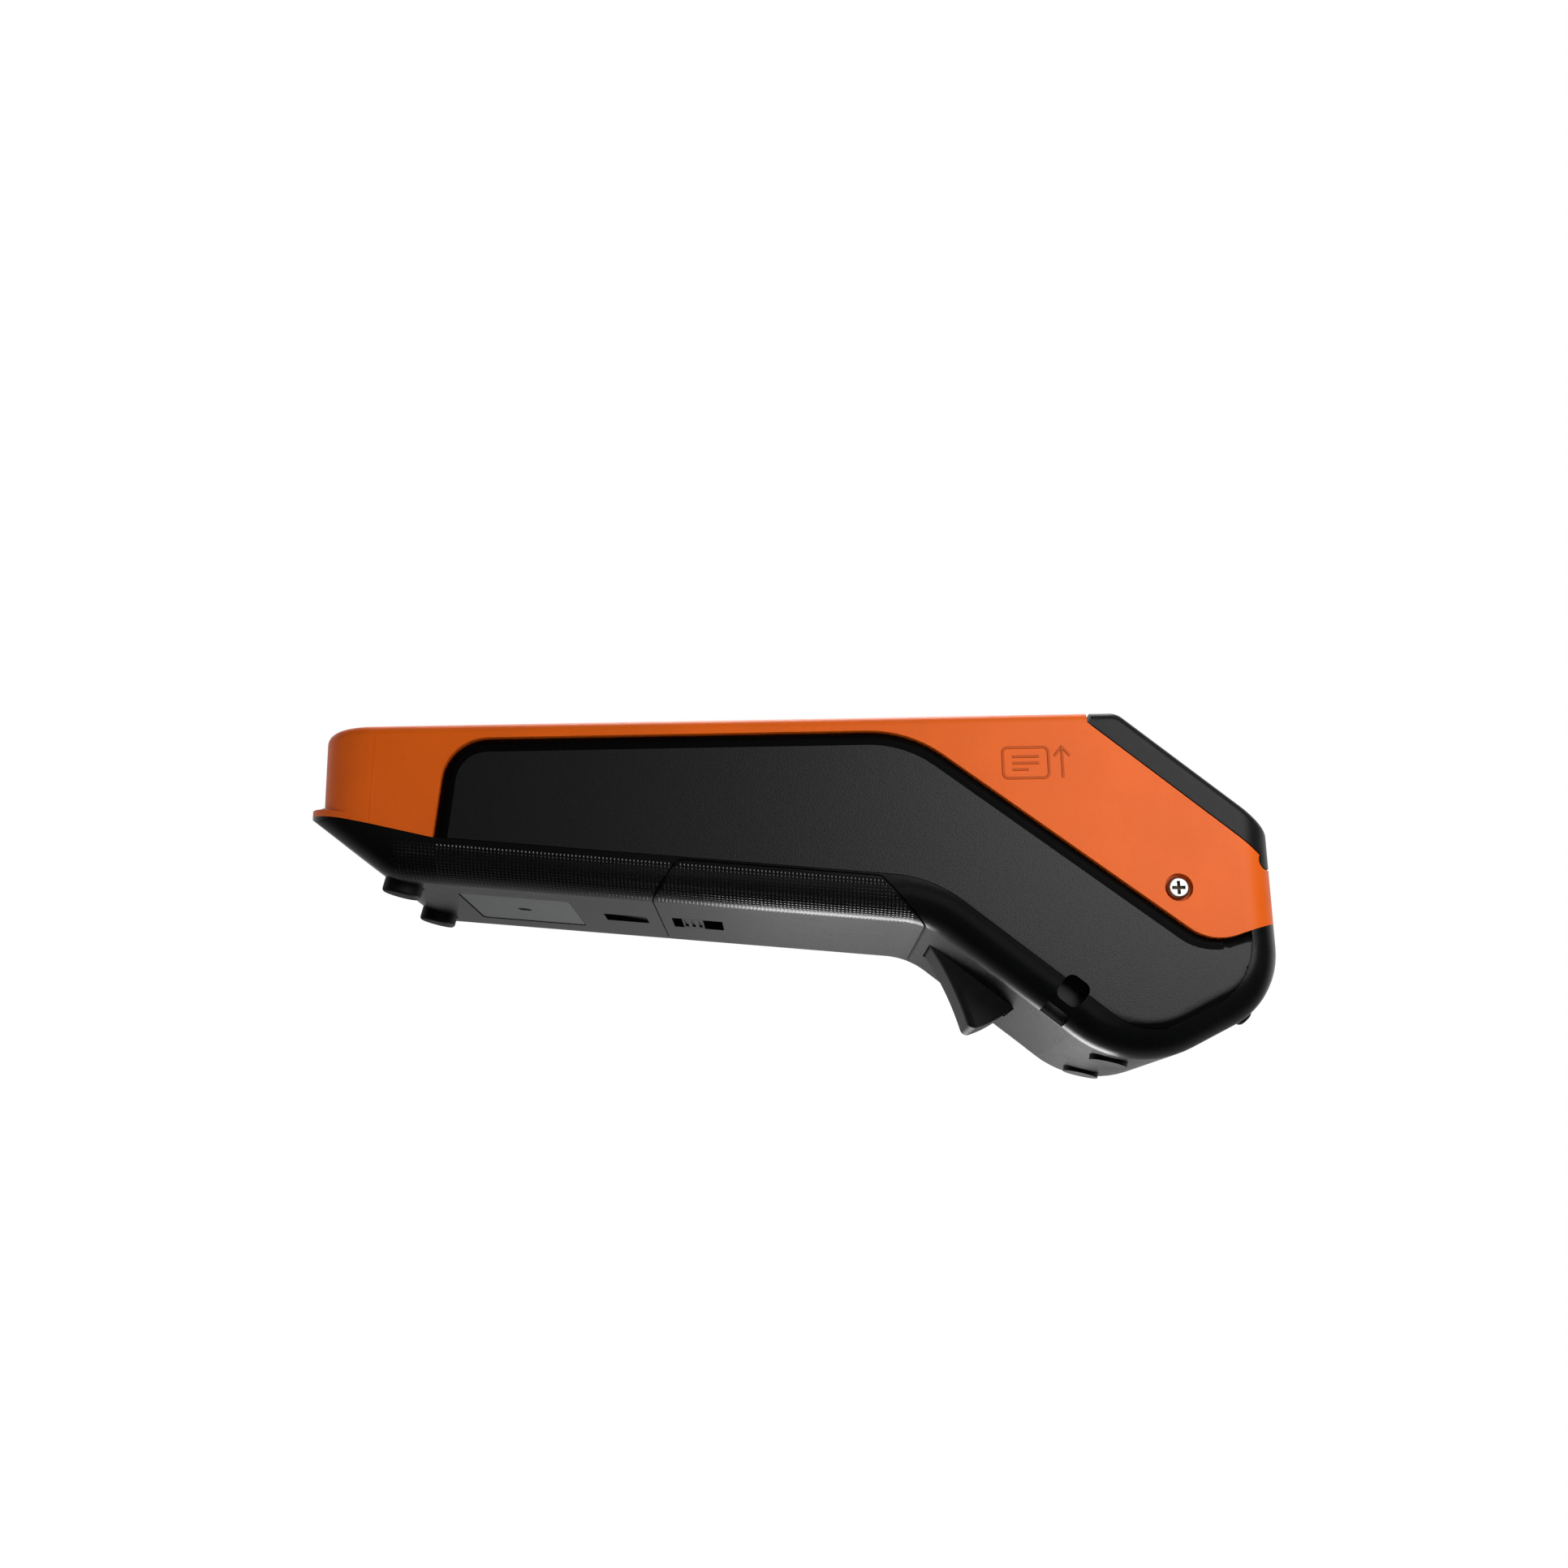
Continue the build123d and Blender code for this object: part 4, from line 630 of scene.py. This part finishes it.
LEGENDS = {"clear": "C", "enter": "↵", "menu": "≡", "feed": "↑", "ok": "OK"}
KEYS = ("clear", "0", "enter", "7", "8", "9", "4", "5", "6", "1", "2", "3", "menu", "feed", "ok")
for key in KEYS:
    low, high = device_box("key_" + key)
    spot = ((low.x + high.x) / 2, (low.y + high.y) / 2, high.z)
    size = OK_LETTER if key == "ok" else KEY_LETTER
    lettering("legend_" + key, LEGENDS.get(key, key), spot, size, LEGEND, "button_" + key)
low, high = device_box("display_module")
middle = (low.x + high.x) / 2
# Words on the display: how far up from its middle, and how large
for name, words, up, size in (("display_digits", "12.50", 6, 15),
                              ("display_line", "1234567890", -12, 6)):
    spot = (middle + up, 0, high.z)
    lettering(name, words, spot, size, LEGEND_DARK, "housing")

# Camera at the photograph's place, with its focal length and frame in pixels
FOCAL, PHOTO, SENSOR = 2000, 1932, 36.0
CAMERA_AT = (111.44, -416.42, -111.13)
PITCH, LEAN = math.radians(14), math.radians(1.07)
camera = bpy.data.objects.new("camera", bpy.data.cameras.new("camera"))
scene.collection.objects.link(camera)
camera.data.sensor_width, camera.data.lens = SENSOR, SENSOR * FOCAL / PHOTO
aim = heading(math.sin(PITCH) * math.sin(LEAN), math.cos(PITCH), math.sin(PITCH) * math.cos(LEAN))
right = heading(math.cos(LEAN), 0, -math.sin(LEAN))
axes = Matrix((right, right.cross(aim), -aim)).transposed().to_4x4()
camera.matrix_world = Matrix.Translation(place(*CAMERA_AT)) @ axes
camera.data.clip_start = 0.01
scene.camera = camera


# Light
def lamp(name, at, target, size, power):
    """Square lamp at a device point, aimed at another; size in metres, power in watts."""
    light = bpy.data.lights.new(name, "AREA")
    light.size, light.energy = size, power
    obj = bpy.data.objects.new(name, light)
    scene.collection.objects.link(obj)
    obj.location = place(*at)
    obj.rotation_euler = (place(*target) - obj.location).to_track_quat("-Z", "Y").to_euler()


lamp("key", (325, -285, 60), (200, -30, -35), 0.28, 0.80)
lamp("under", (128, 255, -255), (132, -31, -48), 0.13, 0.40)
lamp("top", (120, 150, 430), (110, 0, 0), 0.34, 2.2)
lamp("front", (95, -360, -190), (150, -30, -50), 0.16, 0.035)

# The studio is white behind, about a quarter as bright below the horizon and nearly dark on the
# photographer's side; diffuse light gets a share of that, and the camera sees plain white.
# By socket: where along the axis the change begins and ends, and the level at either end
BEHIND = {1: 0.0, 2: 0.55, 3: 0.02, 4: 1.0}
ABOVE = {1: -0.1, 2: 0.2, 3: 0.26, 4: 1.0}
DIFFUSE_SHARE = 0.32
world = bpy.data.worlds.new("studio")
scene.world = world
world.use_nodes = True
tree = world.node_tree


def world_node(kind, links, **values):
    """Node of the world with its inputs linked or set by index; returns its first output."""
    node = tree.nodes.new(kind)
    for key, value in values.items():
        setattr(node, key, value)
    for index, source in links.items():
        if isinstance(source, (int, float)):
            node.inputs[index].default_value = source
        else:
            tree.links.new(source, node.inputs[index])
    return node.outputs[0]


rays = tree.nodes.new("ShaderNodeLightPath").outputs
heading_in = tree.nodes.new("ShaderNodeTexCoord").outputs["Generated"]
axes_in = tree.nodes.new("ShaderNodeSeparateXYZ")
tree.links.new(heading_in, axes_in.inputs[0])
behind = world_node("ShaderNodeMapRange", {0: axes_in.outputs["Y"], **BEHIND})
above = world_node("ShaderNodeMapRange", {0: axes_in.outputs["Z"], **ABOVE})
backdrop = world_node("ShaderNodeMath", {0: behind, 1: above}, operation="MULTIPLY")
soft = world_node("ShaderNodeMath", {0: backdrop, 1: DIFFUSE_SHARE}, operation="MULTIPLY")
shiny = world_node("ShaderNodeMix", {0: rays["Is Glossy Ray"], 2: soft, 3: backdrop})
plain = world_node("ShaderNodeMath", {0: rays["Is Camera Ray"], 1: rays["Is Transmission Ray"]},
                   operation="MAXIMUM")
level = world_node("ShaderNodeMix", {0: plain, 2: shiny, 3: 1.0})
sky = tree.nodes["Background"]
sky.inputs["Color"].default_value = (1, 1, 1, 1)
tree.links.new(level, sky.inputs["Strength"])

# Floor in metres, just under the feet: pale to the camera, clear from below
REACH, DROP, GLOW = 9, 0.00005, 0.80
floor_mesh = bpy.data.meshes.new("floor")
corners = [(-REACH, -REACH, 0), (REACH, -REACH, 0), (REACH, REACH, 0), (-REACH, REACH, 0)]
floor_mesh.from_pydata(corners, [], [(0, 1, 2, 3)])
floor = bpy.data.objects.new("floor", floor_mesh)
scene.collection.objects.link(floor)
floor.location.z = -DROP
floor.visible_shadow = False
floor.visible_glossy = False
ground = Shader("pale_floor", Roughness=0.9)
ground.base(ground.tint(ground.noise(0.05, 2), (0.84, 0.84, 0.84), (0.87, 0.87, 0.87)))
seen = ground.add("ShaderNodeLightPath").outputs["Is Camera Ray"]
pale = ground.add("ShaderNodeMath", {0: seen}, operation="MULTIPLY")
pale.inputs[1].default_value = GLOW
white = ground.add("ShaderNodeEmission", Strength=1.0)
lit = ground.add("ShaderNodeMixShader",
                 {0: pale.outputs[0], 1: ground.bsdf.outputs[0], 2: white.outputs[0]})
clear = ground.add("ShaderNodeBsdfTransparent")
under = ground.add("ShaderNodeNewGeometry").outputs["Backfacing"]
blend = ground.add("ShaderNodeMixShader", {0: under, 1: lit.outputs[0], 2: clear.outputs[0]})
output = ground.tree.nodes["Material Output"]
ground.tree.links.new(blend.outputs[0], output.inputs["Surface"])
floor_mesh.materials.append(ground.material)
